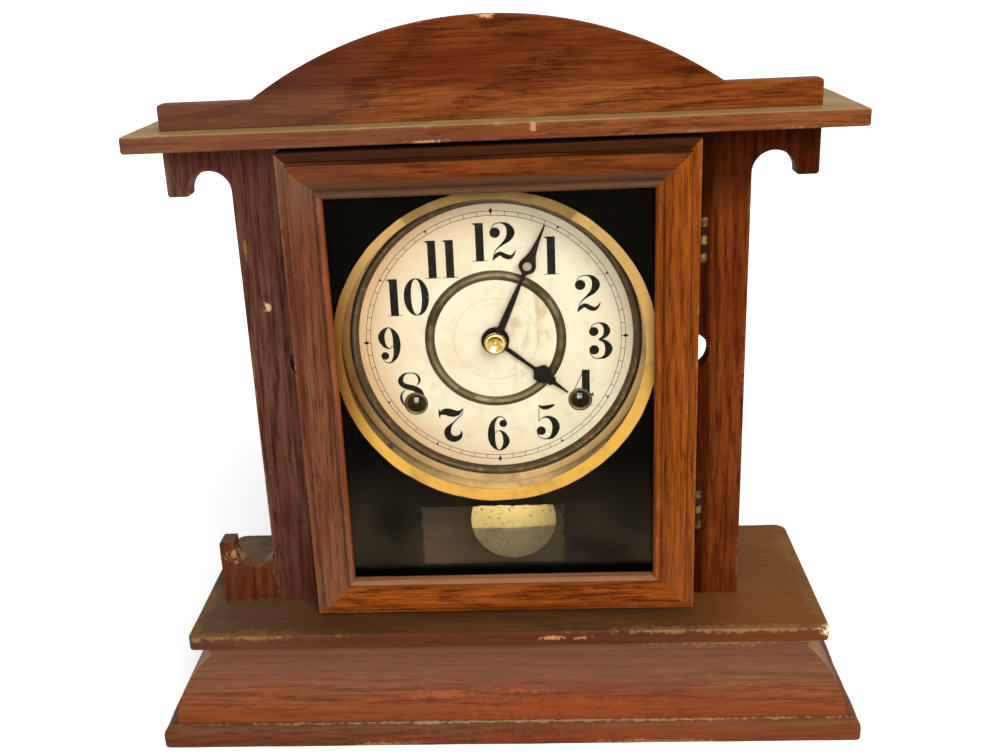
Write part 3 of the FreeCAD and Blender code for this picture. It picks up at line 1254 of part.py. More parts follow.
verge_front = value(VERGE_FRONT)
wheel("escape_wheel", [
    arbor("fine_arbor_radius", verge_front),
    toothed_disc(int(value("escape_pinion_teeth")), escape_pinion_radius, fit, third_low - thick,
                 third_low - thick + long_pinion),
    crossed_disc(int(value("escape_teeth")), value("escape_radius"), big_tooth, verge_front,
                 verge_front + value("verge_thickness"))], *ESCAPE)

springs = []
for tag, (x, z) in (("time", TIME_MAIN), ("strike", STRIKE_MAIN)):
    low = PLATE_BACK + " + spring_setback"
    coil = rod("mainspring_coil_" + tag, "y", "spring_radius", low, low + " + spring_length", x=x, z=z)
    eye = rod("mainspring_eye_" + tag, "y", "winding_arbor_radius + spring_seat_gap", low + " - overrun",
              low + " + spring_length + overrun", x=x, z=z)
    springs.append(cut("mainspring_" + tag, coil, eye))
node("mainsprings", group("mainsprings", *springs))

# Pendulum: an eye on the suspension post, the rod, the lens-shaped bob and its rating nut.
ROD_END = "(bob_height - bob_radius - rod_end_length)"
eye_front = "pendulum_plane - pendulum_rod_radius - suspension_eye_margin"
eye_back = "pendulum_plane + pendulum_rod_radius + suspension_eye_margin"
rod_stock = fuse("pendulum_rod_stock",
                 rod("pendulum_eye", "y", "suspension_eye_radius", eye_front, eye_back,
                     x="pendulum_x", z="suspension_height"),
                 rod("pendulum_wire", "z", "pendulum_rod_radius", ROD_END,
                     "suspension_height - suspension_eye_radius / 2 - suspension_post_radius / 2",
                     x="pendulum_x", y="pendulum_plane"))
eye_bore = rod("pendulum_eye_bore", "y", "suspension_post_radius + running_clearance", eye_front + " - overrun",
               eye_back + " + overrun", x="pendulum_x", z="suspension_height")
node("pendulum_rod", cut("pendulum_rod", rod_stock, eye_bore))

BOB_SAG = "((bob_thickness - bob_rim_thickness) / 2)"
BOB_ARC = "((bob_radius ^ 2 + %s ^ 2) / (2 * %s))" % (BOB_SAG, BOB_SAG)
bob = turned("bob_lens", [
    ("0", "pendulum_plane - bob_thickness / 2", BOB_ARC, 1),
    ("bob_radius", "pendulum_plane - bob_rim_thickness / 2"),
    ("bob_radius", "pendulum_plane + bob_rim_thickness / 2", BOB_ARC, 1),
    ("0", "pendulum_plane + bob_thickness / 2")], "pendulum_x", "bob_height")
rating_nut = rod("rating_nut", "z", "rating_nut_radius", "bob_height - bob_radius - rating_nut_height",
                 "bob_height - bob_radius", x="pendulum_x", y="pendulum_plane")
bob_bore = rod("bob_bore", "z", "pendulum_rod_radius", ROD_END + " - overrun",
               "bob_height + bob_radius + overrun", x="pendulum_x", y="pendulum_plane")
node("pendulum_bob", cut("pendulum_bob", fuse("bob_and_nut", bob, rating_nut), bob_bore))

# Verge: anchor over the escape wheel, and the crutch whose fork goes round the pendulum rod.
VERGE_BACK = "(verge_plane + verge_thickness / 2)"
hub = rod("verge_hub", "y", "verge_hub_radius", VERGE_FRONT, VERGE_BACK, x="pendulum_x", z="verge_height")
yoke = box("verge_yoke", ("pendulum_x - anchor_half_span", "pendulum_x + anchor_half_span"),
           (VERGE_FRONT, VERGE_BACK), ("verge_height - anchor_band / 2", "verge_height + anchor_band / 2"))
pallets = []
for tag, x in (("left", "pendulum_x - anchor_half_span"),
               ("right", "pendulum_x + anchor_half_span - anchor_band")):
    pallets.append(box("pallet_" + tag, (x, x + " + anchor_band"), (VERGE_FRONT, VERGE_BACK),
                       ("pallet_foot_height", "verge_height")))
CRUTCH_FRONT = "(%s - verge_thickness)" % VERGE_FRONT
FORK_HALF = "(pendulum_rod_radius + crutch_gap)"
crutch_hub = rod("crutch_hub", "y", "verge_hub_radius", CRUTCH_FRONT, VERGE_FRONT, x="pendulum_x", z="verge_height")
crutch_x = "pendulum_x + %s" % FORK_HALF
crutch = box("crutch_wire", (crutch_x, crutch_x + " + crutch_width"),
             (VERGE_FRONT + " - crutch_width", VERGE_FRONT),
             ("crutch_contact_height - fork_height / 2", "verge_height"))
FORK_FRONT = "(pendulum_plane - pendulum_rod_radius - crutch_gap)"
prongs = []
for tag, low, high in (("left", "pendulum_x - %s - crutch_width" % FORK_HALF, "pendulum_x - %s" % FORK_HALF),
                       ("right", crutch_x, crutch_x + " + crutch_width")):
    prongs.append(box("crutch_prong_" + tag, (low, high), (FORK_FRONT, VERGE_FRONT),
                      ("crutch_contact_height - fork_height / 2", "crutch_contact_height + fork_height / 2")))
bridge = box("crutch_bridge", ("pendulum_x - %s - crutch_width" % FORK_HALF, crutch_x + " + crutch_width"),
             ("pendulum_plane + pendulum_rod_radius + crutch_gap", VERGE_FRONT),
             ("crutch_contact_height - fork_height / 2", "crutch_contact_height + fork_height / 2"))
verge_bore = rod("verge_bore", "y", "verge_pin_radius + running_clearance", CRUTCH_FRONT + " - overrun",
                 VERGE_BACK + " + overrun", x="pendulum_x", z="verge_height")
node("verge", cut("verge", fuse("verge_stock", hub, yoke, crutch, bridge, *(pallets + prongs)), verge_bore))

# Strike hammer between the plates, its head beside the coiled gong that stands on the base.
gong_depth = value("(%s + %s) / 2" % (PLATE_BACK, REAR_PLATE))
hammer_arm = Part.makeCylinder(value("hammer_arm_radius"), value("hammer_length"),
                               Vector(0, gong_depth, 0), Vector(0, 0, -1))
hammer_head = Part.makeCylinder(value("hammer_head_radius"), value("hammer_head_length"),
                                Vector(0, gong_depth - value("hammer_head_length / 2"), -value("hammer_length")),
                                Vector(0, 1, 0))
wheel("strike_hammer", [arbor("arbor_radius", inner_front), hammer_arm, hammer_head], *HAMMER)

GONG_BASE_TOP = "(%s + gong_base_height)" % BASE_TOP
wire = value("gong_wire_radius")
turns = []
for number in range(3):
    turns.append(Part.makeTorus(value("gong_radius") - number * (2 * wire + value("gong_coil_gap")), wire,
                                Vector(0, gong_depth, 0), Vector(0, 1, 0)))
tail = Part.makeCylinder(wire, value("gong_radius"), Vector(0, gong_depth, 0), Vector(0, 0, -1))
gong = doc.addObject("Part::Feature", "gong_coil")
gong.Shape = turns[0].multiFuse(turns[1:] + [tail])
move(gong, x="gong_x", z="%s + gong_radius + gong_wire_radius" % GONG_BASE_TOP)
node("gong_coil", gong)
GONG_Y = "((%s + %s) / 2)" % (PLATE_BACK, REAR_PLATE)
node("gong_base", box("gong_base", ("gong_x - gong_base_width / 2", "gong_x + gong_base_width / 2"),
                      (GONG_Y + " - gong_base_width / 2", GONG_Y + " + gong_base_width / 2"),
                      (BASE_TOP, GONG_BASE_TOP)))

# Every object has to be sound before anything is written.
doc.recompute()
for made in doc.Objects:
    if "Invalid" in made.State or "Error" in made.State:
        raise RuntimeError("%s: %s" % (made.Label, made.State))
for made in NODES:
    if made.Shape.isNull() or not made.Shape.isValid():
        raise RuntimeError("%s has no sound shape" % made.Label)

os.makedirs("parts", exist_ok=True)
for made in NODES:
    made.Shape.exportStep("parts/%s.step" % made.Label)
    bounds = made.Shape.BoundBox
    print("%-22s %7.1f %7.1f  %7.1f %7.1f  %7.1f %7.1f  solids %d" % (
        made.Label, bounds.XMin, bounds.XMax, bounds.YMin, bounds.YMax, bounds.ZMin, bounds.ZMax,
        len(made.Shape.Solids)))
print(len(NODES), "nodes")
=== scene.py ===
"""Looks of the arched-crest shelf clock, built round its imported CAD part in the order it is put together."""
import math

import bpy
import bmesh
import numpy as np
from mathutils import Matrix, Vector


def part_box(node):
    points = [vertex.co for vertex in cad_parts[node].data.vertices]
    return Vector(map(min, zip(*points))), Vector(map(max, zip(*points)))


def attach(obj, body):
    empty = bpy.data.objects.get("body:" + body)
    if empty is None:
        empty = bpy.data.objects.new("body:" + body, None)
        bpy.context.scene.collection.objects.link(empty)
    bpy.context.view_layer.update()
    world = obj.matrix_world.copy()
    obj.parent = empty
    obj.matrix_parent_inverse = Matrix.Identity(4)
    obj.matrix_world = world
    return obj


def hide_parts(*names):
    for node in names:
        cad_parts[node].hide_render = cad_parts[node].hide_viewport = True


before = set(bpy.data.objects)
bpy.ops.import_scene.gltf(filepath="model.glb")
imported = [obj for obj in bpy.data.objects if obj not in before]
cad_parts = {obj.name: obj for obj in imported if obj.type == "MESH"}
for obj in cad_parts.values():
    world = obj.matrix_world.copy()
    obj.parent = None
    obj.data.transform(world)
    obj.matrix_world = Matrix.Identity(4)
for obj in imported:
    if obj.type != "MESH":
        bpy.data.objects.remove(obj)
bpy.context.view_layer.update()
MM = 0.001

# Plinth: one wide oak board that the clock stands on, its front and side edges rounded over with a plane.
# Its varnish is worn off the rounded edge, where years of dusting have left pale flecks.


def tone(code):
    """An sRGB colour code as the linear colour that sockets take."""
    srgb = np.array([int(code[i:i + 2], 16) for i in (1, 3, 5)]) / 255
    linear = np.where(srgb <= 0.04045, srgb / 12.92, ((srgb + 0.055) / 1.055) ** 2.4)
    return (*linear, 1.0)


def shade(colour, parts, contrast=1.0):
    """A linear colour with each channel changed by a part of itself times the contrast."""
    return (*[channel * (1 + contrast * part) for channel, part in zip(colour, parts)], 1.0)


class Finish:
    """The shader nodes of a material, or of another owner. Each method adds nodes and returns the socket
    that carries the result; a string among the inputs is a colour code. place is the object's own
    coordinates, grain the coordinates that noise is taken from."""

    def __init__(self, name, owner=None, end="OutputMaterial"):
        self.owner = owner or bpy.data.materials.new(name)
        self.owner.use_nodes = True
        self.tree = self.owner.node_tree
        self.tree.nodes.clear()
        self.end = self.tree.nodes.new("ShaderNode" + end)
        self.place = self.grain = self.add("TexCoord", out="Object")

    def add(self, kind, inputs=(), out=0, **settings):
        node = self.tree.nodes.new("ShaderNode" + kind)
        for key, setting in settings.items():
            setattr(node, key, setting)
        for key, wanted in dict(inputs).items():
            if isinstance(wanted, bpy.types.NodeSocket):
                self.tree.links.new(wanted, node.inputs[key])
            else:
                node.inputs[key].default_value = tone(wanted) if isinstance(wanted, str) else wanted
        return node.outputs[out]

    def math(self, operation, first, second=0.0, clamp=False):
        return self.add("Math", {0: first, 1: second}, operation=operation, use_clamp=clamp)

    def times(self, first, second):
        return self.math("MULTIPLY", first, second)

    def plus(self, first, second):
        return self.math("ADD", first, second)

    def vector(self, operation, first, second=(0, 0, 0), out=0):
        return self.add("VectorMath", {0: first, 1: second}, out, operation=operation)

    def length(self, vector):
        return self.vector("LENGTH", vector, out="Value")

    def part(self, axis, vector=None):
        return self.add("SeparateXYZ", {0: self.place if vector is None else vector}, "XYZ".index(axis))

    def between(self, number, low, high, start=0, end=1):
        """The number's place between low and high, eased at both ends, as a share from start to end."""
        return self.add("MapRange", {0: number, 1: low, 2: high, 3: start, 4: end},
                        interpolation_type="SMOOTHSTEP")

    def mix(self, share, first, second, blend="MIX"):
        return self.add("Mix", {0: share, 6: first, 7: second}, 2, data_type="RGBA", blend_type=blend,
                        clamp_factor=True)

    def spread(self, colour, over, number, low, high, share=1):
        """A second colour laid over the first, by up to the share, as the number goes from low to high."""
        return self.mix(self.between(number, low, high, 0, share), colour, over)

    def noise(self, scale, detail=2, roughness=0.5, stretch=(1, 1, 1)):
        """Cloudy noise, its clouds scale to a metre, closer together along an axis with more stretch."""
        stretched = self.add("Mapping", {"Vector": self.grain, "Scale": stretch})
        return self.add("TexNoise", {"Vector": stretched, "Scale": scale, "Detail": detail,
                                     "Roughness": roughness})

    def principled(self, height, depth, strength, **sockets):
        """The surface shader, with a relief of a depth in mm."""
        names = {key.replace("_", " ").title().replace("Ior", "IOR"): wanted
                 for key, wanted in sockets.items()}
        relief = {"Height": height, "Distance": depth * MM, "Strength": strength}
        return self.done(self.add("BsdfPrincipled", {"Normal": self.add("Bump", relief), **names}))

    def done(self, shader):
        self.tree.links.new(shader, self.end.inputs[0])
        return self.owner


GRAIN_TURN = {"X": (0, 0, 0), "Y": (0, 0, math.radians(-90)), "Z": (0, math.radians(90), 0)}


def oak(name, along, stain, heart, ring_gap=4.2, taper=0.06, seed=0, worn=0.35, dust=0, pores=0.7,
        bare="#b98a5c", contrast=1.0, bands=(), worn_spots=(), dusty="#8f7150"):
    """Varnished oak. The annual rings are shells round the tree's heart line, cut by the board's face: ring
    number = (distance from the heart + taper x length + slow sway) / ring gap. Dark pores, long and thin
    along the grain, crowd the early part of each ring, and streaks of light and dark fibre run between
    them. stain is the board's middle colour; the light, dark and pore colours are made from it. bands are
    stretches (axis, none at, full at, colour, share, blend) where the colour changes: some are changes of
    finish and dust, others are painted light and shade. worn_spots are ragged patches (place, half sizes,
    colour, share), and dusty is the colour of the dust on top."""
    middle = tone(stain)
    light = shade(middle, (0.40, 0.60, 0.80), contrast)
    dark = shade(middle, (-0.50, -0.60, -0.55), contrast)
    patch = shade(middle, (-0.20, -0.38, -0.25), contrast)
    pore_wood = shade(middle, (-0.70, -0.76, -0.65))
    f = Finish(name)
    place = f.add("Mapping", {"Vector": f.place, "Rotation": GRAIN_TURN[along]})
    f.grain = f.vector("ADD", place, (seed * 1.37, seed * 0.71, seed * 0.43))
    across = f.vector("MULTIPLY", f.vector("SUBTRACT", place, (0, *heart)), (0, 1, 1))
    length = f.times(f.part("X", place), taper)
    sway = f.times(f.noise(1, 2, 0.5, (7, 26, 26)), 14 * MM)
    ring = f.plus(f.plus(f.length(across), length), sway)
    ring = f.math("FRACT", f.math("DIVIDE", ring, ring_gap * MM))
    early = f.times(f.between(ring, 0, 0.15), f.between(ring, 0.15, 0.8, 1, 0))
    fibre = f.noise(1, 5, 0.70, (30, 620, 620))
    fine = f.noise(1, 3, 0.7, (110, 1700, 1700))
    streaks = f.noise(1, 2, 0.6, (120, 1500, 1500))
    crazing = f.noise(1, 2, 0.6, (1600, 260, 260))
    clouds = f.noise(1, 3, 0.55, (9, 34, 34))
    pore = f.times(f.between(streaks, 0.50, 0.64), f.between(early, 0, 1, 0.3, 1))
    colour = f.spread(light, middle, fibre, 0.34, 0.62)
    colour = f.spread(colour, dark, f.plus(fibre, f.times(early, 0.08)), 0.50, 0.74, 0.8)
    colour = f.spread(colour, dark, fine, 0.42, 0.75, 0.55)
    colour = f.mix(f.times(early, 0.16), colour, dark)
    colour = f.spread(colour, light, crazing, 0.55, 0.75, 0.30)
    colour = f.spread(colour, patch, clouds, 0.45, 0.68, 0.8)
    colour = f.mix(f.times(pore, pores), colour, pore_wood)
    scuffs = f.noise(420, 3, 0.65)
    wide = f.between(f.noise(38, 3, 0.6), 0.44, 0.66)
    edge = f.add("Attribute", out="Fac", attribute_name="edge")
    rubbed = f.times(f.times(edge, f.between(scuffs, 0.40, 0.66)), wide)
    colour = f.mix(f.times(edge, 0.22), colour, light)
    colour = f.mix(f.times(rubbed, worn), colour, bare)
    for axis, none_at, full_at, band_colour, share, *blend in bands:
        at = f.plus(f.part(axis), f.between(clouds, 0.3, 0.7, -0.8 * MM, 0.8 * MM))
        ends = (0, share) if full_at > none_at else (share, 0)
        share_here = f.between(at, min(none_at, full_at) * MM, max(none_at, full_at) * MM, *ends)
        colour = f.mix(share_here, colour, band_colour, *blend)
    ragged = f.plus(f.between(scuffs, 0.25, 0.75, -0.8, 0.8), f.between(f.noise(90), 0.2, 0.8, -0.5, 0.5))
    for spot, sizes, spot_colour, share in worn_spots:
        reach = f.vector("ADD", f.place, [-part * MM for part in spot])
        reach = f.vector("MULTIPLY", reach, [1 / (part * MM) for part in sizes])
        reach = f.plus(f.length(reach), ragged)
        colour = f.mix(f.between(reach, 0.35, 1.45, share, 0), colour, spot_colour)
    if dust:
        upward = f.part("Z", f.add("NewGeometry", out="Normal"))
        film = f.times(f.between(upward, 0.4, 0.95), f.between(wide, 0, 1, 0.7, 1))
        colour = f.mix(f.times(film, dust), colour, dusty)
    rough = f.between(f.plus(pore, f.times(clouds, 0.6)), 0, 1.3, 0.5, 0.7)
    relief = f.plus(f.times(pore, -1), f.times(fine, 0.5))
    return f.principled(relief, 0.12, 0.6, base_color=colour, roughness=rough, specular_ior_level=0.07,
                        specular_tint="#d89c68")


def uneven(along, seed):
    """A smooth uneven line from -1 to 1: five sines of falling length added up along the way, in metres."""
    rng = np.random.default_rng(seed)
    waves = np.array([0.115, 0.051, 0.023, 0.011, 0.0053])
    phases = rng.uniform(0, 2 * np.pi, waves.size)
    sizes = np.array([0.35, 0.3, 0.2, 0.1, 0.05])
    return (sizes * np.sin(2 * np.pi * along[..., None] / waves + phases)).sum(-1)


def arc(centre, radius, start, end, count=9):
    """Points of a round stretch between two angles, in degrees, counterclockwise from the first axis."""
    angle = np.radians(np.linspace(start, end, count))
    return np.stack([centre[0] + radius * np.cos(angle), centre[1] + radius * np.sin(angle)], -1)


def outline(*stretches, spacing=5 * MM):
    """A closed line through stretches of points, long runs divided into steps of about one spacing."""
    corners = np.concatenate([np.atleast_2d(stretch) for stretch in stretches])
    corners = corners[np.linalg.norm(corners - np.roll(corners, 1, 0), axis=1) > 1e-6]
    runs = []
    for here, ahead in zip(corners, np.roll(corners, -1, 0)):
        steps = max(1, round(float(np.linalg.norm(ahead - here)) / spacing))
        runs.append(here + (ahead - here) * (np.arange(steps) / steps)[:, None])
    return np.concatenate(runs)


def mitres(loop):
    """The outward direction at each point of a counterclockwise closed line, long enough to keep both
    sides' distance: (normal before + normal after) / (1 + their dot product). Also how far each point may
    move inwards before its neighbours cross: shorter neighbour / (2 tan(half the turn)) where the line
    turns left."""
    ahead = np.roll(loop, -1, 0) - loop
    length = np.linalg.norm(ahead, axis=1)
    ahead /= length[:, None]
    after = np.stack([ahead[:, 1], -ahead[:, 0]], -1)
    before = np.roll(after, 1, 0)
    alike = (before * after).sum(1)
    left = before[:, 0] * after[:, 1] - before[:, 1] * after[:, 0]
    half_turn = np.tan(np.arccos(np.clip(alike, -1, 1)) / 2)
    room = np.where(left > 0.02, np.minimum(length, np.roll(length, 1)) / (2 * half_turn + 1e-9), np.inf)
    room = np.minimum(room, np.minimum(np.roll(room, 1), np.roll(room, -1)))
    return (before + after) / np.maximum(1 + alike, 0.35)[:, None], room


def piece(name, points, faces, body, material, replaces=(), edge=None, smooth=None, turn_out=False):
    """Puts a mesh into the scene on a body. edge is a wear value for each point. With smooth, doubled
    points are merged and only corners sharper than that many degrees stay sharp; turn_out turns all faces
    outwards."""
    mesh = bpy.data.meshes.new(name)
    mesh.from_pydata(points.tolist(), [], faces)
    if edge is not None:
        mesh.attributes.new("edge", "FLOAT", "POINT").data.foreach_set("value", edge.astype(np.float32))
    work = bmesh.new()
    work.from_mesh(mesh)
    if smooth:
        bmesh.ops.remove_doubles(work, verts=work.verts, dist=1e-7)
    if turn_out:
        bmesh.ops.recalc_face_normals(work, faces=work.faces)
    work.to_mesh(mesh)
    work.free()
    if smooth:
        mesh.polygons.foreach_set("use_smooth", np.ones(len(mesh.polygons), bool))
        mesh.set_sharp_from_angle(angle=math.radians(smooth))
    mesh.materials.append(material)
    made = bpy.data.objects.new(name, mesh)
    bpy.context.collection.objects.link(made)
    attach(made, body)
    if replaces:
        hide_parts(*replaces)


def solid(name, grid, body, replaces, material, edge=0.0, rings_closed=False, ends=True, smooth=40):
    """A mesh from rings of points, grid[ring, point]: four-sided faces between neighbours, each ring
    closed, the first and last ring either joined, or closed by one flat face each. Faces are turned
    outwards by the sign of the enclosed volume."""
    rings, count = grid.shape[:2]
    number = np.arange(rings * count).reshape(rings, count)
    upper = np.roll(number, -1, 0) if rings_closed else number[1:]
    lower = number if rings_closed else number[:-1]
    faces = np.stack([lower, np.roll(lower, -1, 1), np.roll(upper, -1, 1), upper], -1).reshape(-1, 4)
    points = grid.reshape(-1, 3)
    corner = points[faces]
    volume = np.einsum("ij,ij->i", corner[:, 0], np.cross(corner[:, 1], corner[:, 2])
                       + np.cross(corner[:, 2], corner[:, 3])).sum()
    lists = faces.tolist()
    if ends and not rings_closed:
        lists += [number[0][::-1].tolist(), number[-1].tolist()]
        for ring, sign in ((grid[0], -1), (grid[-1], 1)):
            fan = np.cross(ring - ring[0], np.roll(ring, -1, 0) - ring[0]).sum(0)
            volume += sign * float(ring[0] @ fan)
    if volume < 0:
        lists = [face[::-1] for face in lists]
    piece(name, points, lists, body, material, replaces, np.broadcast_to(edge, (rings, count)).ravel(),
          smooth)


WEAR_WIDTH = 1.4 * MM


def board(name, line, near, far, axes, rounding, seed, material, far_rounding=None):
    """A flat board: its outline is carried through the thickness, drawn in near both faces to round the
    edges: inset = r (1 - sin a), depth = r (1 - cos a). The rounding, in mm, swells and shrinks along the
    edge as worn wood does. axes names the outline's two axes and then the thickness axis."""
    outward, room = mitres(line)
    step = np.linalg.norm(line - np.roll(line, 1, 0), axis=1).cumsum()
    depth = far - near
    angle = np.radians([0, 22.5, 45, 67.5, 90])[:, None]
    none = np.zeros((1, len(line)))
    halves = []
    for radius, turn in ((rounding * MM, seed), ((far_rounding or rounding) * MM, seed + 50)):
        swell = radius * (1 + 0.35 * uneven(step, turn))
        width = max(WEAR_WIDTH, radius * 1.4)
        foot = max(min(width, depth * 0.45), radius * 1.36)
        halves.append((np.concatenate([none + width, swell * (1 - np.sin(angle)), none]),
                       np.concatenate([none, swell * (1 - np.cos(angle)), none + foot])))
    inset = np.minimum(np.concatenate([halves[0][0], halves[1][0][::-1]]), 0.92 * room)
    level = np.concatenate([halves[0][1], depth - halves[1][1][::-1]])
    wear = np.array([0, 0.8, 1, 1, 1, 0.8, 0])
    flat = line[None] - outward[None] * inset[..., None]
    grid = np.zeros((*inset.shape, 3))
    for axis, part in zip(axes, (flat[..., 0], flat[..., 1], near + level)):
        grid[..., "XYZ".index(axis)] = part
    wear = np.concatenate([wear, wear[::-1]])[:, None]
    solid(name, grid, "case", (name,), material, wear, smooth=35)


def rectangle(low, high, *radii):
    """Counterclockwise outline with rounded corners: one radius in mm, or one for each corner."""
    places = ((low[0], low[1], 1, 1, 180), (high[0], low[1], -1, 1, 270),
              (high[0], high[1], -1, -1, 0), (low[0], high[1], 1, -1, 90))
    return outline(*[arc((x + sx * r, y + sy * r), r, start, start + 90, 5)
                     for (x, y, sx, sy, start), r in zip(places, np.broadcast_to(radii, 4) * MM)])


low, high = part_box("plinth_board")
plinth_oak = oak(
    "plinth_oak", "X", "#57301c", (-0.03, 0.06), 3.4, seed=1, worn=0, dust=0.2, contrast=0.75,
    dusty="#8a6c4e", bare="#b08a62", bands=[("X", -20, 60, "#8a4420", 0.25)],
    worn_spots=[((30, -55.5, 10), (140, 0.8, 1.6), "#b8966a", 0.7),
                ((20, -60, 4), (60, 3, 2.5), "#833a1a", 0.4), ((-60, -60, 1), (14, 3, 1), "#a06c4a", 0.5),
                ((70, -60, 1), (20, 3, 1), "#a06c4a", 0.45)])
plinth_line = rectangle(low.xy, high.xy, 2.5, 2.5, 1, 1)
board("plinth_board", plinth_line, low.z, high.z, "XYZ", 0.8, 3, plinth_oak, 4.2)

# Base mouldings: a bold quarter-round run on oak stock, mitred round the front and both sides, glued on the
# plinth. The returns show bare dusty wood at the top, where the base board overhangs them.


def softened(corners, radius=0.45 * MM, reach=1.3 * MM):
    """The corners of a closed section with each sharp one eased by a small round, and a wear value per
    point: 1 on the round, 0 a short way off it."""
    points, wear = [], []
    for before, here, after in zip(np.roll(corners, 1, 0), corners, np.roll(corners, -1, 0)):
        back, ahead = before - here, after - here
        lengths = np.linalg.norm(back), np.linalg.norm(ahead)
        back, ahead = back / lengths[0], ahead / lengths[1]
        if back @ ahead < -0.93:
            points.append(here)
            wear.append(0.0)
            continue
        cut = min(radius, 0.3 * min(lengths))
        wide = min(reach, 0.45 * min(lengths))
        share = np.linspace(0, 1, 5)[:, None]
        bend = here + back * cut * (1 - share) ** 2 + ahead * cut * share ** 2
        points += [here + back * wide, *bend, here + ahead * wide]
        wear += [0.0, 0.8, 1.0, 1.0, 1.0, 0.8, 0.0]
    return np.array(points), np.array(wear)


def moulding(name, section, start, ways, length, cuts, seed, material, body="case"):
    """A straight moulding: the section (inwards, up) is carried along a line. ways names the directions
    along, inwards and up. Each end is cut on the slant, cuts mm further along for each mm inwards: 1 for a
    mitre, 0 for a square end."""
    along, inward, up = [(-1 if way[0] == "-" else 1) * np.eye(3)["XYZ".index(way[-1])]
                         for way in ways.split()]
    points, wear = softened(np.array(section) * MM)
    shares = np.linspace(0, 1, max(2, round(length / (6 * MM))))
    first = cuts[0] * points[:, 0]
    last = length - cuts[1] * points[:, 0]
    at = first + (last - first) * shares[:, None]
    worn = 0.12 * MM * uneven(at + points[:, 1], seed) * wear
    grid = (np.array(start) + at[..., None] * along + points[:, :1] * inward + points[:, 1:] * up
            + worn[..., None] * (inward - up) / 2)
    solid(name, grid, body, (name,), material, wear, smooth=35)


FOOT_EDGE = 1.5
FACE_ROUND = 31.0
FACE_LEAN = FACE_ROUND / 2
TOP_EDGE = 35.5
STOCK_DEPTH = 20
base_section = [(0, 0), *arc((FACE_ROUND, FOOT_EDGE), FACE_ROUND, 180, 120, 13), (FACE_LEAN, TOP_EDGE),
                (STOCK_DEPTH, TOP_EDGE), (STOCK_DEPTH, 0)]
low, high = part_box("base_moulding_front")
side_low, side_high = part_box("base_moulding_left")
BASE_STAIN = "#6d3b22"
BASE_HEART = (-0.08, 0.01)
# Painted shadow: the front moulding's nearly black band at the top is the shade under the base top board's
# overhang.
front_moulding_oak = oak(
    "base_moulding_oak", "X", BASE_STAIN, BASE_HEART, 3.8, 0.03, seed=2, worn=0.1, contrast=0.95, pores=0.6,
    bands=[("Z", 24, 12, "#7a3a16", 0.5), ("Z", 20, 34, "#6a4a39", 0.6), ("Z", 40.5, 43.5, "#3a2a1e", 0.75)],
    worn_spots=[((30, -54.5, 16), (42, 8, 5), "#904416", 0.35),
                ((-32, -54.5, 23), (13, 6, 1.2), "#96492a", 0.6),
                ((6, -54.5, 24.5), (10, 6, 0.8), "#96492a", 0.6),
                ((100, -43, 41.5), (34, 7, 1.8), "#9a7548", 0.6)])
return_oak = oak("base_return_oak", "Y", BASE_STAIN, BASE_HEART, 3.8, 0.03, seed=3, worn=0.3, contrast=0.75,
                 bands=[("Z", 26, 38, "#b8884a", 0.75)])
moulding("base_moulding_front", base_section, low, "X Y Z", high.x - low.x, (1, 1), 5, front_moulding_oak)
return_length = side_high.y - side_low.y
for name, x, ways, seed in (("left", side_low.x, "Y X Z", 6), ("right", -side_low.x, "Y -X Z", 7)):
    moulding("base_moulding_" + name, base_section, (x, side_low.y, side_low.z), ways, return_length, (1, 0),
             seed, return_oak)

# Base top board: the wide oak board that the case stands on, darkened with dirt and old wax on its top
# face, its front edge rubbed and chipped.
low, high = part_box("base_top_board")
# Painted light: the base top board's right end is made lighter and more orange, where the lamp's light falls.
base_top_oak = oak(
    "base_top_oak", "X", "#55341e", (-0.05, -0.12), 4.6, seed=4, worn=0.15, dust=0.4, contrast=0.9,
    dusty="#553d20", bare="#b08f60",
    bands=[("X", 60, 130, "#96561c", 0.6), ("X", -70, -130, "#6c5846", 0.35),
           ("Y", -45, -46.3, "#4a2216", 0.75)],
    worn_spots=[((-128, -45.5, 52.7), (30, 4, 2), "#94703f", 0.5),
                ((-150, -25, 52.7), (4, 30, 3), "#94703f", 0.4),
                ((105, -46.5, 52.7), (50, 3, 1.4), "#a07c50", 0.45),
                ((149, -20, 52.7), (4, 34, 3), "#94703f", 0.4),
                ((147, 30, 52.7), (5, 22, 3), "#94703f", 0.4),
                ((-139, 42, 52.7), (16, 18, 4), "#94805c", 0.45),
                ((150.5, -46, 51), (2.4, 2.4, 3), "#f0dcb4", 1),
                ((22, -46.5, 49.4), (5, 1.6, 1), "#b87f5a", 0.8),
                ((36, -46.5, 49.2), (3.5, 1.6, 0.7), "#b87f5a", 0.7)])
base_top_line = rectangle(low.xy, high.xy, 2.5, 2.5, 6, 6)
board("base_top_board", base_top_line, low.z, high.z, "XYZ", 0.7, 11, base_top_oak)

# Back rail of the base and the case's hidden frame: plain pine and oak, sawn and planed and left
# unvarnished. The rails and sides are glued, with blocks in their corners, and the back board is screwed on
# from behind.


def pine(name, along, tones=("#b98d5c", "#9a6c3f", "#6f4a2a"), seed=0):
    """Bare softwood gone brown with age: soft broad rings and fine fibre along the grain, matt."""
    light, ring_wood, dark = tones
    f = Finish(name)
    f.grain = f.add("Mapping", {"Vector": f.place, "Rotation": GRAIN_TURN[along],
                                "Location": (seed, seed * 0.7, seed * 0.4)})
    fibre = f.noise(1, 4, 0.7, (30, 900, 900))
    colour = f.spread(light, ring_wood, f.noise(1, 2, 0.5, (3, 150, 150)), 0.42, 0.6)
    colour = f.spread(colour, dark, fibre, 0.4, 0.75, 0.6)
    colour = f.spread(colour, dark, f.noise(14, 4, 0.6), 0.5, 0.75, 0.5)
    return f.principled(fibre, 0.1, 0.5, base_color=colour, roughness=f.between(fibre, 0.3, 0.7, 0.65, 0.85))


